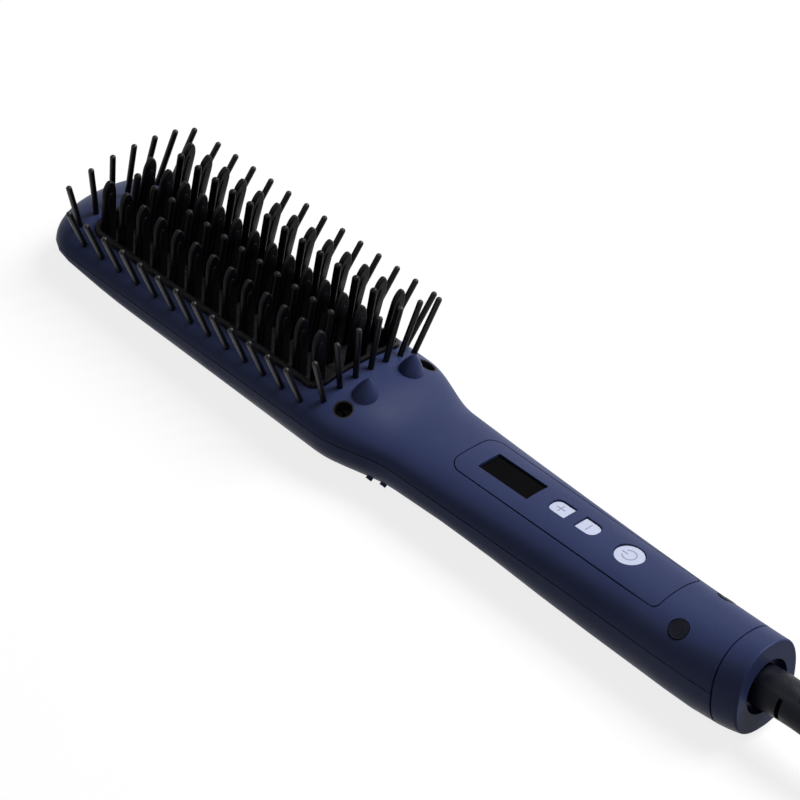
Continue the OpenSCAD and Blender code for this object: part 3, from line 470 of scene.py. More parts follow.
def crownAt(x, nose):
    k = easeStep((x - shoulderX - form["blend"]) / (form["neckLength"] - 2 * form["blend"]))
    head = form["headHeight"] + (x - form["headMiddle"]) * math.tan(math.radians(form["headPitch"]))
    grip = form["neckHeight"] + (x - neckX) * math.tan(math.radians(form["panelPitch"]))
    return seamAt(x) + nose * (head * (1 - k) + grip * k - seamAt(x)) + form["flare"] * rearShare(x) ** 2


def noseAt(x):
    return arcOut((noseX - x) / form["nose"], form["nosePower"])


def skinAt(x, y):
    nose = noseAt(x)
    return seamAt(x) + (crownAt(x, nose) - seamAt(x)) * arcOut(abs(y) / halfWidth(x, nose), form["power"])


def skinNormal(x, y):
    d = 0.05
    slopeX = (skinAt(x + d, y) - skinAt(x - d, y)) / (2 * d)
    slopeY = (skinAt(x, y + d) - skinAt(x, y - d)) / (2 * d)
    return Vector((-slopeX, -slopeY, 1)).normalized()


def signedPower(v, power):
    return math.copysign(abs(v) ** power, v)


def sectionRing(station, drawIn, steps, lift=0, edge=0):
    # one section over the top, from side to side; a station is (x, tilt, nose share)
    start, tilt, nose = station
    ring = []
    for i in range(steps + 1):
        a = math.pi * i / steps
        x = start
        for again in range(6):
            share = noseAt(x) if nose is None else nose
            low = seamAt(x) + form["halfGap"] + lift
            w, h = halfWidth(x, share) - drawIn, crownAt(x, share) - drawIn - low
            y = w * signedPower(math.cos(a), 2 / form["power"])
            z = low + h * signedPower(math.sin(a), 2 / form["power"])
            x = start - (z - form["axisHeight"]) * math.tan(math.radians(tilt))
        ring.append((x, y, z))
    if edge:
        (x0, y0, z0), (x1, y1, z1) = ring[0], ring[-1]
        first = [(x0, y0 - edge, z0), (x0, y0, z0 + edge)]
        last = [(x1, y1, z1 + edge), (x1, y1 + edge, z1)]
        ring = first + ring[1:-1] + last
    return ring


def loft(name, rings):
    # a closed skin over rings of equal count
    n = len(rings[0])
    corners = [tuple(v * mm for v in p) for ring in rings for p in ring]
    faces = [tuple(range(n)), tuple(range(len(corners) - 1, len(corners) - n - 1, -1))]
    for j in range(len(rings) - 1):
        faces += [(j * n + k, (j + 1) * n + k, (j + 1) * n + (k + 1) % n,
                   j * n + (k + 1) % n) for k in range(n)]
    shape = bpy.data.meshes.new(name)
    shape.from_pydata(corners, [], faces)
    piece = bpy.data.objects.new(name, shape)
    scene.collection.objects.link(piece)
    pickOnly(piece)
    bpy.ops.object.mode_set(mode="EDIT")
    bpy.ops.mesh.select_all(action="SELECT")
    bpy.ops.mesh.normals_make_consistent(inside=False)
    bpy.ops.object.mode_set(mode="OBJECT")
    return piece


def stationList(last, lastTilt):
    # sections crowd towards the tip, where the nose is blunt
    turns = (89.4, 87.5, 85, 82, 78, 74, 70, 65, 60, 54, 48, 42, 36, 30, 24, 18, 12, 6)
    reach = noseX - form["tipEnd"]
    stations = [(noseX - reach * math.sin(math.radians(a)), 0,
                 arcOut(math.sin(math.radians(a)), form["nosePower"])) for a in turns]
    x = noseX
    while x < last - form["lastStep"]:
        tilt = lastTilt * min(1, max(0, (x - flareX) / (last - 2 - flareX)))
        stations.append((x, tilt, 1))
        if x < shoulderX - form["headStep"]:
            x += form["headStep"]
        elif x < neckX + 2:
            x += form["neckStep"]
        else:
            x += form["gripStep"]
    return stations


def placed(point, frameName):
    # a point in the head's, the panel's or the cord's own frame, in mm
    f = form
    frames = {
        "head": (f["headMiddle"], f["headZ"], f["headPitch"]),
        "panel": (f["panelMiddle"], f["panelZ"], f["panelPitch"]),
        "axis": (f["endFace"], f["axisHeight"], f["endTilt"]),
    }
    x, z, angle = frames[frameName]
    c, s = math.cos(math.radians(angle)), math.sin(math.radians(angle))
    return (x + point[0] * c - point[2] * s, point[1], z + point[0] * s + point[2] * c)


def prism(name, outline, low, high, frameName):
    rings = [[placed((x, y, z), frameName) for x, y in outline] for z in (low, high)]
    return loft(name, rings)


def cornered(left, right, halfSpan, radii):
    # a rectangle with a corner radius of its own at each end, listed counter-clockwise
    outline = []
    for cx, sy, r, start in ((right - radii[1], 1, radii[1], 0), (left + radii[0], 1, radii[0], 90),
                             (left + radii[0], -1, radii[0], 180), (right - radii[1], -1, radii[1], 270)):
        for i in range(13):
            a = math.radians(start + 7.5 * i)
            outline.append((cx + r * math.cos(a), sy * (halfSpan - r) + r * math.sin(a)))
    return outline


def rectangle(halfX, halfY):
    return [(sx * halfX, sy * halfY) for sx, sy in ((1, 1), (-1, 1), (-1, -1), (1, -1))]


def turnedBar(name, place, direction, radius, low, high):
    # a round bar along a direction, in mm
    deselectAll()
    bpy.ops.mesh.primitive_cylinder_add(vertices=64, radius=radius * mm, depth=(high - low) * mm)
    bar = bpy.context.object
    bar.name = name
    along = Vector(direction).normalized()
    bar.rotation_mode = "QUATERNION"
    bar.rotation_quaternion = along.to_track_quat("Z", "Y")
    bar.location = (Vector(place) + along * (low + high) / 2) * mm
    bpy.ops.object.transform_apply(location=True, rotation=True, scale=True)
    return bar


def axisBar(name, radius, low, high):
    # a round bar on the cord's axis, measured from the end face
    start = Vector(placed((0, 0, 0), "axis"))
    return turnedBar(name, start, Vector(placed((1, 0, 0), "axis")) - start, radius, low, high)


def combine(piece, tool, how):
    pickOnly(piece)
    joint = piece.modifiers.new(how.lower(), "BOOLEAN")
    joint.operation = how
    joint.solver = "MANIFOLD"
    joint.object = tool
    before = len(piece.data.polygons)
    bpy.ops.object.modifier_apply(modifier=joint.name)
    if len(piece.data.polygons) < 6:
        raise SystemExit(piece.name + " was lost to " + tool.name + " from " + str(before) + " faces")
    bpy.data.objects.remove(tool)


def cut(piece, tool):
    combine(piece, tool, "DIFFERENCE")


def joinAll(pieces):
    deselectAll()
    for piece in pieces:
        piece.select_set(True)
    bpy.context.view_layer.objects.active = pieces[0]
    if len(pieces) > 1:
        bpy.ops.object.join()
    return pieces[0]


def settle(piece, name, body, slot, finish, *stoodFor):
    piece.name = piece.data.name = name
    dress(piece, finish)
    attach(piece, body)
    if stoodFor:
        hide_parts(*stoodFor)
    return piece


def smoothOver(piece, angle=32):
    pickOnly(piece)
    bpy.ops.object.shade_smooth_by_angle(angle=math.radians(angle))
    even = piece.modifiers.new("evenShade", "WEIGHTED_NORMAL")
    even.keep_sharp = True
    bpy.ops.object.modifier_apply(modifier=even.name)


# upper shell
shell = {
    "bed": {"left": -46.96, "right": 46.96, "half": 18.4, "corner": 4.5, "low": -12, "high": 20},
    "panel": {"left": -15.8, "right": 61.9, "half": 9.7, "corners": (4.2, 2.0), "gap": 0.26, "fit": 0.14,
              "deep": 2.4},
    "well": {"left": -13.8, "right": 50.05, "half": 7.7, "low": -6.4, "high": -1},
    "outlet": {"aft": 3.4, "aside": 17.3, "radius": 3.04, "lean": 22, "tip": 4},
    "bump": {"aft": 4.2, "aside": 9.3, "tall": 6.1, "radius": 3.9, "front": 0.86, "back": 1.05, "foot": 2.6,
             "waist": 1.3, "domePowers": (1.15, 1.35), "tipRadius": 0.08, "footSpread": 0.35},
    "screw": {"back": 25.4, "aside": 10.4, "radius": 3.24, "deep": 2.2},
    "seat": {"radius": 9.85, "deep": 20.6, "wire": 6, "wireDeep": 34.6},
    "hollow": {"at": (6, 10, 15.3, 39.3, 116.4, 124.4, 133.4, 144.4), "steps": 8, "lift": 0.6, "below": 1},
    "gripHollow": {"fore": 4, "aft": 2, "slim": 1.2, "roof": 5.4, "deep": 20},
}


def bumpForm(side):
    b = shell["bump"]
    x, y = shoulderX + b["aft"], side * b["aside"]
    base = skinAt(x, y)
    rings = []
    powers = b["domePowers"]
    dome = [b["tall"] * math.sin(math.radians(a)) for a in range(0, 86, 5)]
    for z in [-b["foot"], -b["waist"]] + dome + [b["tall"]]:
        share = max(0, 1 - max(0, z / b["tall"]) ** powers[0]) ** (1 / powers[1])
        r = max(b["tipRadius"], b["radius"] * share + max(0, -z) * b["footSpread"])
        ring = []
        for i in range(40):
            a = 2 * math.pi * i / 40
            pull = b["front"] if math.cos(a) > 0 else b["back"]
            ring.append((x + r * pull * math.cos(a), y + r * math.sin(a), base + z))
        rings.append(ring)
    return loft("bumpForm", rings)


def outletWay(side):
    lean, tip = math.radians(shell["outlet"]["lean"]), math.radians(shell["outlet"]["tip"])
    way = Vector((math.sin(tip), 0, math.cos(tip)))
    return Vector((way.x, side * way.z * math.sin(lean), way.z * math.cos(lean)))


def outletPlace(side):
    x, y = shoulderX + shell["outlet"]["aft"], side * shell["outlet"]["aside"]
    return Vector((x, y, skinAt(x, y)))


def screwPlace(side):
    x, y = form["endFace"] - shell["screw"]["back"], side * shell["screw"]["aside"]
    return Vector((x, y, skinAt(x, y))), skinNormal(x, y)


def panelOutline(grow):
    p = shell["panel"]
    return cornered(p["left"] - grow, p["right"] + grow, p["half"] + grow, [r + grow for r in p["corners"]])


def upperSolid(name):
    capX = form["endFace"] - form["capLength"] / math.cos(math.radians(form["endTilt"]))
    stations = stationList(capX, form["endTilt"])
    rings = [sectionRing(station, 0, form["around"], edge=form["edge"]) for station in stations]
    rings.append(sectionRing((capX - form["grooveWide"], form["endTilt"], 1), 0, form["around"],
                             edge=form["edge"]))
    rings.append(sectionRing((capX, form["endTilt"], 1), form["grooveDeep"], form["around"],
                             edge=form["edge"]))
    return loft(name, rings)


def makeUpperShell():
    piece = upperSolid("upperShell")
    for side in (-1, 1):
        combine(piece, bumpForm(side), "UNION")
    inner, hollow, grip = [], shell["hollow"], shell["gripHollow"]
    for step in hollow["at"]:
        x = form["tip"] + step
        ring = sectionRing((x, 0, None), form["wall"], hollow["steps"], lift=hollow["lift"])
        side, floor = halfWidth(x, noseAt(x)) - form["wall"], seamAt(x) - hollow["below"]
        inner.append(ring + [(x, -side, floor), (x, side, floor)])
    cut(piece, loft("headHollow", inner))
    p, w, seat = shell["panel"], shell["well"], shell["seat"]
    outline = []
    for side in (-1, 1):
        for k in range(5):
            q = (k if side > 0 else 4 - k) / 4
            x = (neckX - form["panelMiddle"] - grip["fore"]) * (1 - q) + (p["right"] - grip["aft"]) * q
            half = halfWidth(form["panelMiddle"] + x, 1) - form["wall"] - grip["slim"]
            outline.append((x, side * half))
    cut(piece, prism("gripHollow", outline, -grip["roof"] - grip["deep"], -grip["roof"], "panel"))
    cut(piece, axisBar("seatCut", seat["radius"], -seat["deep"], 1))
    cut(piece, axisBar("wireCut", seat["wire"], -seat["wireDeep"], 1))
    b = shell["bed"]
    bedOutline = cornered(b["left"], b["right"], b["half"], (b["corner"],) * 2)
    cut(piece, prism("bedCut", bedOutline, b["low"], b["high"], "head"))
    cut(piece, prism("panelCut", panelOutline(p["gap"]), -p["deep"], 8, "panel"))
    cut(piece, prism("wellCut", cornered(w["left"], w["right"], w["half"], (1, 1)), w["low"], w["high"],
                     "panel"))
    for side in (-1, 1):
        outlet = shell["outlet"]["radius"]
        cut(piece, turnedBar("outletCut", outletPlace(side), outletWay(side), outlet, -8, 8))
        place, way = screwPlace(side)
        cut(piece, turnedBar("screwCut", place, way, shell["screw"]["radius"], -shell["screw"]["deep"], 4))
    smoothOver(piece)
    return settle(piece, "upperShell", "housing", "shell", "navySoftTouch", "upper_shell")


# end cap, with a rounded rim and the recess for the guard
endCap = {"gap": 0.42, "round": 0.6, "recess": cordRoute["recess"], "hole": 8.5, "core": 6.77,
          "flange": 10.5, "flangeDeep": 4.4,
          "backPower": 2.4, "backCut": 0.5, "endLift": 2, "liftLong": 22, "around": 72}


def bellyAt(x):
    c = endCap
    along = max(0, (x - form["endFace"] + c["liftLong"]) / c["liftLong"])
    return -c["backCut"] + (c["endLift"] + c["backCut"]) * along ** 3


def capRing(u, drawIn):
    # the whole section in a plane square to the cord's axis, u mm along it
    tilt = math.radians(form["endTilt"])
    n, ring = endCap["around"], []
    for i in range(2 * n):
        a = math.pi * i / n
        z = form["axisHeight"]
        for again in range(8):
            x = form["endFace"] + (u - (z - form["axisHeight"]) * math.sin(tilt)) / math.cos(tilt)
            s, w = seamAt(x), halfWidth(x, 1) - drawIn
            if i <= n:
                h, power = crownAt(x, 1) - drawIn - s, form["power"]
            else:
                h, power = s - bellyAt(x) - drawIn, endCap["backPower"]
            y = w * signedPower(math.cos(a), 2 / power)
            z = s + h * signedPower(math.sin(a), 2 / power)
        ring.append((x, y, z))
    return ring


def makeEndCap():
    c = endCap
    back = c["gap"] - form["capLength"]
    rings = [capRing(back, form["grooveDeep"]), capRing(back + form["grooveWide"], 0)]
    rings += [capRing(u, 0) for u in (-7, -5.5, -4, -2.5)]
    for a in range(0, 91, 15):
        turn = math.radians(a)
        rings.append(capRing(c["round"] * (math.sin(turn) - 1), c["round"] * (1 - math.cos(turn))))
    piece = loft("endCap", rings)
    cut(piece, axisBar("recessCut", c["hole"], -c["recess"], 3))
    cut(piece, axisBar("coreCut", c["core"], -12, 3))
    cut(piece, axisBar("flangeCut", c["flange"], -12, -c["flangeDeep"]))
    smoothOver(piece)
    return settle(piece, "endCap", "housing", "shell", "navySoftTouch", "end_cap")


# control panel, display window and keys
keySet = {"plus": 21.4, "web": 4.1, "long": 6.4, "wide": 5.5, "power": 43.7, "powerAcross": 8.7,
          "gap": 0.33, "full": 0.21, "sink": 0.65, "shift": (-0.27, 0.37),
          "floor": -3.3, "flange": 0.75, "rim": 0.8, "round": 0.28, "squareness": 2.5}
window = {"half": (9.3, 4.6), "ledge": 1.2, "glassTop": -0.85, "glassDeep": 1.3, "fit": 0.1, "lift": 0.02,
          "corner": 0.3, "round": 0.08}


def keyOutline(which, grow):
    k = keySet
    if which == "power":
        r = k["powerAcross"] / 2 + grow
        outline = [(k["power"] + r * math.cos(2 * math.pi * i / 64),
                    r * math.sin(2 * math.pi * i / 64)) for i in range(64)]
    else:
        half = k["wide"] / 2 + grow
        away = 1 if which == "minus" else -1
        flat = k["plus"] + (k["web"] if which == "minus" else 0)
        run = flat + away * (k["long"] - k["wide"] / 2)
        outline = [(flat - away * grow, away * half)]
        for i in range(33):
            a = math.radians(90 - 180 * i / 32)
            outline.append((run + away * half * signedPower(math.cos(a), 2 / k["squareness"]),
                            away * half * signedPower(math.sin(a), 2 / k["squareness"])))
        outline.append((flat - away * grow, -away * half))
    return [(x + k["shift"][0], y + k["shift"][1]) for x, y in outline]


def makePanel():
    piece = upperSolid("controlPanel")
    p, w = shell["panel"], window
    combine(piece, prism("panelForm", panelOutline(-p["fit"]), -p["deep"], 9, "panel"), "INTERSECT")
    glass = rectangle(w["half"][0], w["half"][1])
    ledge = rectangle(w["half"][0] - w["ledge"], w["half"][1] - w["ledge"])
    cut(piece, prism("glassCut", glass, -w["glassDeep"], 5, "panel"))
    cut(piece, prism("ledgeCut", ledge, -5, 5, "panel"))
    for which in ("plus", "minus", "power"):
        cut(piece, prism("keyCut", keyOutline(which, keySet["gap"]), -5, 5, "panel"))
    smoothOver(piece)
    return settle(piece, "controlPanel", "housing", "shell", "navySoftTouch", "control_panel")


def roundEdges(piece, width, angle=40, segments=3):
    pickOnly(piece)
    edges = piece.modifiers.new("roundEdges", "BEVEL")
    edges.width = width * mm
    edges.segments = segments
    edges.limit_method = "ANGLE"
    edges.angle_limit = math.radians(angle)
    bpy.ops.object.modifier_apply(modifier=edges.name)


def makeKey(which):
    k = keySet
    piece = prism("key", keyOutline(which, k["full"]), k["floor"] + k["rim"] / 2, -k["sink"], "panel")
    roundEdges(piece, k["round"])
    skirt = prism("skirt", keyOutline(which, k["flange"]), k["floor"], k["floor"] + k["rim"], "panel")
    combine(piece, skirt, "UNION")
    smoothOver(piece)
    return settle(piece, which + "Key", which + "_key", "key", "keySilver", "button_" + which)


def makeGlass():
    w = window
    half = (w["half"][0] - w["fit"], w["half"][1] - w["fit"])
    outline = cornered(-half[0], half[0], half[1], (w["corner"],) * 2)
    piece = prism("displayGlass", outline, w["lift"] - w["glassDeep"], w["glassTop"], "panel")
    roundEdges(piece, w["round"])
    smoothOver(piece)
    return settle(piece, "displayGlass", "housing", "lens", "windowBlack", "display_lens")


# screw plugs and outlet tubes
plug = {"radius": 2.95, "low": -1.9, "top": -0.12, "groove": 0.55, "grooveWide": 0.12, "grooveDeep": 0.1,
        "round": 0.12}
tube = {"outer": 3.0, "inner": 2.62, "deep": 5, "proud": 1.5, "floor": 0.6, "sink": 0.1, "lidFore": 4,
        "lidLong": 16}


def makeScrewPlugs():
    both = []
    for side in (-1, 1):
        place, way = screwPlace(side)
        piece = turnedBar("screwPlug", place, way, plug["radius"], plug["low"], plug["top"])
        bpy.ops.object.mode_set(mode="EDIT")
        bpy.ops.mesh.select_all(action="DESELECT")
        bpy.ops.object.mode_set(mode="OBJECT")
        lid = max(piece.data.polygons, key=lambda face: (face.normal.dot(way), face.area))
        lid.select = True
        bpy.ops.object.mode_set(mode="EDIT")
        bpy.ops.mesh.select_mode(type="FACE")
        bpy.ops.mesh.inset(thickness=plug["groove"] * mm)
        bpy.ops.mesh.inset(thickness=plug["grooveWide"] * mm, depth=-plug["grooveDeep"] * mm)
        bpy.ops.mesh.inset(thickness=plug["grooveWide"] * mm, depth=plug["grooveDeep"] * mm)
        bpy.ops.object.mode_set(mode="OBJECT")
        roundEdges(piece, plug["round"], angle=30, segments=2)
        both.append(piece)
    piece = joinAll(both)
    smoothOver(piece)
    return settle(piece, "screwPlugs", "housing", "plug_rubber", "screwPlugRubber", "screw_plugs")


def makeOutletTubes():
    both = []
    for side in (-1, 1):
        place, way = outletPlace(side), outletWay(side)
        piece = turnedBar("outletTube", place, way, tube["outer"], -tube["deep"], tube["proud"])
        cut(piece, turnedBar("boreCut", place, way, tube["inner"], -tube["deep"] + tube["floor"], 3))
        combine(piece, skinLid(), "INTERSECT")
        both.append(piece)
    piece = joinAll(both)
    smoothOver(piece)
    return settle(piece, "outletTubes", "housing", "black_plastic", "outletBlackAndShade", "outlet_tubes")


def skinLid():
    # the shoulder's upper form, drawn in a little, trims the tubes just below the skin
    stations = [(shoulderX - tube["lidFore"] + i, 0, 1) for i in range(tube["lidLong"] + 1)]
    rings = []
    for station in stations:
        ring = sectionRing(station, tube["sink"], form["around"])
        rings.append(ring + [(station[0], ring[-1][1], 0), (station[0], ring[0][1], 0)])
    return loft("skinLid", rings)


# blades: one leaf is modelled, then copied along each row
blades = {"count": 13, "step": 7.16, "rowStep": 13.4, "lean": 8, "plateTop": -1.0815, "wide": 5.6,
          "thick": 1.6,
          "tall": {"near": 22.9, "middle": 24.3, "far": 22.9}, "topShare": 0.42, "archShare": 0.86,
          "tongueWide": 2.4, "tongueRaise": 0.3, "tongueDrop": 4, "round": 0.62, "tongueRound": 0.2,
          "archPowers": (1.9, 1.75), "archSteps": 14, "footSpare": 0.6}


def leafOutline(wide, tall, taper):
    archStart = tall - wide * blades["archShare"]
    half = wide / 2
    halfTop = half + (taper - half) * archStart / tall
    side, powers = [(half, 0), (halfTop, archStart)], blades["archPowers"]
    for i in range(1, blades["archSteps"] + 1):
        z = math.sin(math.radians(90 * i / blades["archSteps"]))
        side.append((halfTop * max(0, 1 - z ** powers[0]) ** (1 / powers[1]),
                     archStart + z * (tall - archStart)))
    return side + [(-y, z) for y, z in reversed(side[:-1])]


def makeLeaf(wide, tall, thick, taper, soften):
    outline = leafOutline(wide, tall, taper)
    piece = loft("leaf", [[(x, y, z) for y, z in outline] for x in (-thick / 2, thick / 2)])
    roundEdges(piece, soften, angle=50)
    return piece


def makeBladeRow(row, side):
    b = blades
    foot = abs(side) * math.sin(math.radians(b["lean"])) * b["wide"] / 2 + b["footSpare"]
    tall = b["tall"][row] + foot
    leaf = makeLeaf(b["wide"], tall, b["thick"], b["wide"] * b["topShare"], b["round"])
    tongueWide, tongueThick = b["tongueWide"], b["thick"] + 2 * b["tongueRaise"]
    tongue = makeLeaf(tongueWide, tall - b["tongueDrop"], tongueThick, tongueWide * b["topShare"],
                      b["tongueRound"])
    combine(leaf, tongue, "UNION")
    smoothOver(leaf, 40)
    leaf.rotation_euler = (-math.radians(b["lean"]) * side, 0, 0)
    leaf.location = Vector((0, 0, -foot * math.cos(math.radians(b["lean"]) * side))) * mm
    bpy.ops.object.transform_apply(location=True, rotation=True, scale=False)
    bpy.ops.object.mode_set(mode="EDIT")
    bpy.ops.mesh.select_all(action="SELECT")
    bpy.ops.mesh.bisect(plane_co=(0, 0, 0), plane_no=(0, 0, 1), use_fill=True, clear_inner=True)
    bpy.ops.object.mode_set(mode="OBJECT")
    copies = []
    for i in range(b["count"]):
        pickOnly(leaf)
        bpy.ops.object.duplicate()
        copy = bpy.context.object
        copy.rotation_euler = (0, -math.radians(form["headPitch"]), 0)
        spot = placed(((i - (b["count"] - 1) / 2) * b["step"], side * b["rowStep"], b["plateTop"]), "head")
        copy.location = Vector(spot) * mm
        bpy.ops.object.transform_apply(location=True, rotation=True, scale=False)
        copies.append(copy)
    bpy.data.objects.remove(leaf)
    return settle(joinAll(copies), "blades" + row.capitalize(), "housing", "tooth", "toothBlack",
                  "blades_" + row)


# pieces that follow a solid, with rounded edges and smooth faces
followers = {
    "back_shell": {"name": "backShell", "body": "housing", "slot": "shell", "finish": "navySoftTouch",
                   "round": 0, "sharp": 28},
    "bed_frame": {"name": "bedRim", "body": "housing", "slot": "black_plastic", "finish": "blackBed",
                  "round": 0.3, "sharp": 35},
    "cord_guard": {"name": "cordGuard", "body": "cord_end", "slot": "guard_rubber", "finish": "guardRubber",
                   "round": 0.25, "sharp": 35},
    "plug_body": {"name": "plugBody", "body": "cord_end", "slot": "cord_plug", "finish": "plugMould",
                  "round": 1.2, "sharp": 35},
}


mergeReach = 0.000004
flatAngle = 0.6


def followSolid(node, plan):
    # a merged copy of the solid's mesh: flat faces joined, hard edges rounded, curved faces smooth
    pickOnly(nodes[node])
    bpy.ops.object.duplicate()
    piece = bpy.context.object
    for key in [key for key in piece.keys() if key.startswith("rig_")]:
        del piece[key]
    piece.parent = None
    bpy.ops.mesh.customdata_custom_splitnormals_clear()
    bpy.ops.object.mode_set(mode="EDIT")
    bpy.ops.mesh.select_all(action="SELECT")
    bpy.ops.mesh.remove_doubles(threshold=mergeReach)
    bpy.ops.mesh.dissolve_limited(angle_limit=math.radians(flatAngle))
    bpy.ops.object.mode_set(mode="OBJECT")
    if plan["round"]:
        roundEdges(piece, plan["round"], plan["sharp"])
    smoothOver(piece, plan["sharp"])
    return settle(piece, plan["name"], plan["body"], plan["slot"], plan["finish"], node)


# the plug gets a collar for its cord and grip grooves on both sides
plugTrim = {"collar": 4.8, "collarLength": 7, "grooves": 5, "firstGroove": 6, "grooveStep": 3,
            "grooveHigh": 9, "grooveWide": 1.2,
            "grooveDeep": 0.7, "ring": 0.6, "bands": 2, "firstBand": 2.2, "bandStep": 2.4, "bandWide": 1.1,
            "round": 0.3}


def trimPlug(piece):
    t, face = plugTrim, Vector(cordRoute["plugFace"])
    low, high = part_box("plug_body")
    collar = turnedBar("collar", face, (1, 0, 0), t["collar"], -1, t["collarLength"])
    for i in range(t["bands"]):
        at = face + Vector((t["firstBand"] + t["bandStep"] * i, 0, 0))
        band = turnedBar("band", at, (1, 0, 0), t["collar"] + 1, 0, t["bandWide"])
        cut(band, turnedBar("bandCore", at, (1, 0, 0), t["collar"] - t["ring"], -1, 2))
        cut(collar, band)
    roundEdges(collar, t["round"])
    combine(piece, collar, "UNION")
    for side, edge in ((-1, low[1]), (1, high[1])):
        for i in range(t["grooves"]):
            deselectAll()
            spot = Vector((face.x - t["firstGroove"] - t["grooveStep"] * i, edge / mm, face.z)) * mm
            bpy.ops.mesh.primitive_cube_add(size=1, location=spot)
            cutter = bpy.context.object
            cutter.scale = (t["grooveWide"] * mm, 2 * t["grooveDeep"] * mm, t["grooveHigh"] * mm)
            bpy.ops.object.transform_apply(location=True, rotation=True, scale=True)
            roundEdges(cutter, t["round"])
            cut(piece, cutter)
    smoothOver(piece)


made = {plan["name"]: followSolid(node, plan) for node, plan in followers.items()}
trimPlug(made["plugBody"])
print("followed solids:", len(made))
makeUpperShell()
print("upper shell made")
makeEndCap()
makePanel()
makeGlass()
print("cap, panel and window made")
for which in ("plus", "minus", "power"):
    makeKey(which)
makeScrewPlugs()
makeOutletTubes()
print("keys, plugs and outlets made")
for row, side in (("near", -1), ("middle", 0), ("far", 1)):
    makeBladeRow(row, side)
print("blades made")

# marks on the keys, thin raised prints
keyMarks = {"sink": keySet["sink"], "raise": 0.05, "plusAt": 17.7, "minusAt": 28.1,
            "powerAt": keySet["power"] - 0.5, "aside": 0.6,
            "arm": 3.0, "line": 0.4, "ring": 2.1, "ringGap": 35, "ringSteps": 28, "stemBack": 0.75,
            "stemLong": 0.95}


def markBar(x, length, width):
    tilt = math.radians(form["panelPitch"])
    z = keyMarks["raise"] / 2 - keyMarks["sink"]
    deselectAll()
    spot = Vector(placed((x, keyMarks["aside"], z), "panel")) * mm
    bpy.ops.mesh.primitive_cube_add(size=1, location=spot, rotation=(0, -tilt, 0))
    bar = bpy.context.object
    bar.scale = (length * mm, width * mm, keyMarks["raise"] * mm)
    bpy.ops.object.transform_apply(location=True, rotation=True, scale=True)
    return bar


def joinMark(which, parts):
    mark = joinAll(parts)
    mark.name = mark.data.name = which + "Mark"
    dress(mark, "markGrey")
    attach(mark, which + "_key")


def markRing(x):
    # a ring open towards the tip
    k = keyMarks
    rings = []
    for i in range(k["ringSteps"] + 1):
        a = math.radians(180 + k["ringGap"] + (360 - 2 * k["ringGap"]) * i / k["ringSteps"])
        ring = []
        for r, z in ((-0.5, 0), (0.5, 0), (0.5, 1), (-0.5, 1)):
            radius = k["ring"] + r * k["line"]
            point = (x + radius * math.cos(a), k["aside"] + radius * math.sin(a), z * k["raise"] - k["sink"])
            ring.append(placed(point, "panel"))
        rings.append(ring)
    return loft("ringMark", rings)


def makeMarks():
    k = keyMarks
    joinMark("plus", [markBar(k["plusAt"], k["arm"], k["line"]), markBar(k["plusAt"], k["line"], k["arm"])])
    joinMark("minus", [markBar(k["minusAt"], k["line"], k["arm"])])
    ring = markRing(k["powerAt"])
    stem = markBar(k["powerAt"] - k["ring"] * k["stemBack"], k["ring"] * k["stemLong"], k["line"])
    joinMark("power", [ring, stem])


makeMarks()
print("key marks made")

# studio# studio: pale floor, white surround, soft lamps
studio = {
    "floorSize": 12, "floorDrop": 0.0002, "floorRough": 0.9, "floorSeen": (0.92, 0.92, 0.93),
    "floorBounce": (0.16, 0.16, 0.17), "glow": 0.82,
    "worldTint": (0.93, 0.96, 1.0), "worldLevel": 0.06,
    "lamps": [
        {"name": "overhead", "place": (0.3, 0.75, 1.35), "aim": (0, 0, 0), "size": 0.9, "watts": 34},
        {"name": "front", "place": (-0.5, -1.3, 1.5), "aim": (0, 0, 0), "size": 0.5, "watts": 2},
    ],
}


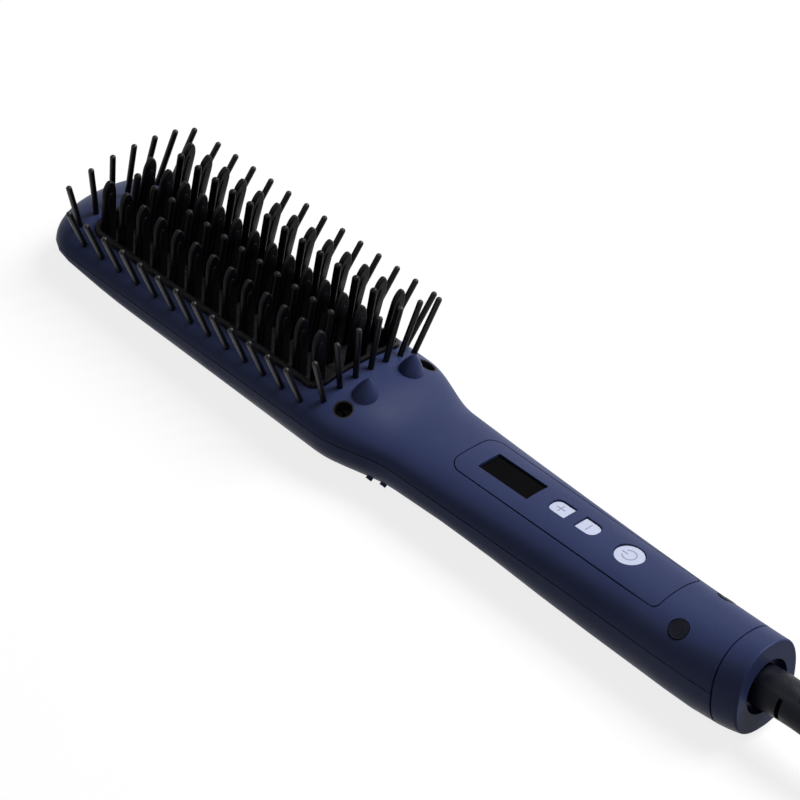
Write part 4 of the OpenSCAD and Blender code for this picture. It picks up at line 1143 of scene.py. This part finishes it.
def raysThatSee(tree, seen):
    # the camera, and what shows in metal and glass
    shiny = larger(tree, seen.outputs["Is Glossy Ray"], seen.outputs["Is Transmission Ray"])
    return larger(tree, seen.outputs["Is Camera Ray"], shiny)


def makeFloor():
    bpy.ops.mesh.primitive_plane_add(size=studio["floorSize"], location=(0, 0, -studio["floorDrop"]))
    floor = bpy.context.object
    floor.name = "floor"
    material, tree, shader = startMaterial("floorPaper")
    shader.inputs["Roughness"].default_value = studio["floorRough"]
    glow = put(tree, "ShaderNodeEmission", {"Color": (1, 1, 1, 1), "Strength": 1})
    seen = put(tree, "ShaderNodeLightPath")
    colour = blend(tree, seen.outputs["Is Camera Ray"], studio["floorBounce"], studio["floorSeen"])
    tree.links.new(colour, shader.inputs["Base Color"])
    part = times(tree, raysThatSee(tree, seen), studio["glow"])
    mix = put(tree, "ShaderNodeMixShader", {0: part, 1: shader.outputs[0], 2: glow.outputs[0]})
    tree.links.new(mix.outputs[0], tree.nodes["Material Output"].inputs["Surface"])
    floor.data.materials.append(material)


def makeWorld():
    world = bpy.data.worlds.new("studioAir")
    scene.world = world
    world.use_nodes = True
    tree = world.node_tree
    back = tree.nodes["Background"]
    back.inputs["Color"].default_value = (*studio["worldTint"], 1)
    back.inputs["Strength"].default_value = studio["worldLevel"]
    white = put(tree, "ShaderNodeBackground", {"Color": (1, 1, 1, 1), "Strength": 1})
    seen = put(tree, "ShaderNodeLightPath")
    mix = put(tree, "ShaderNodeMixShader",
              {0: raysThatSee(tree, seen), 1: back.outputs[0], 2: white.outputs[0]})
    tree.links.new(mix.outputs[0], tree.nodes["World Output"].inputs["Surface"])


def makeLamp(plan):
    bpy.ops.object.light_add(type="AREA", location=plan["place"])
    lamp = bpy.context.object
    lamp.name = plan["name"]
    lamp.data.size = plan["size"]
    lamp.data.energy = plan["watts"]
    lamp.rotation_mode = "QUATERNION"
    lamp.rotation_quaternion = (Vector(plan["aim"]) - Vector(plan["place"])).to_track_quat("-Z", "Y")


deselectAll()
makeFloor()
makeWorld()
for plan in studio["lamps"]:
    makeLamp(plan)
print("studio lit")
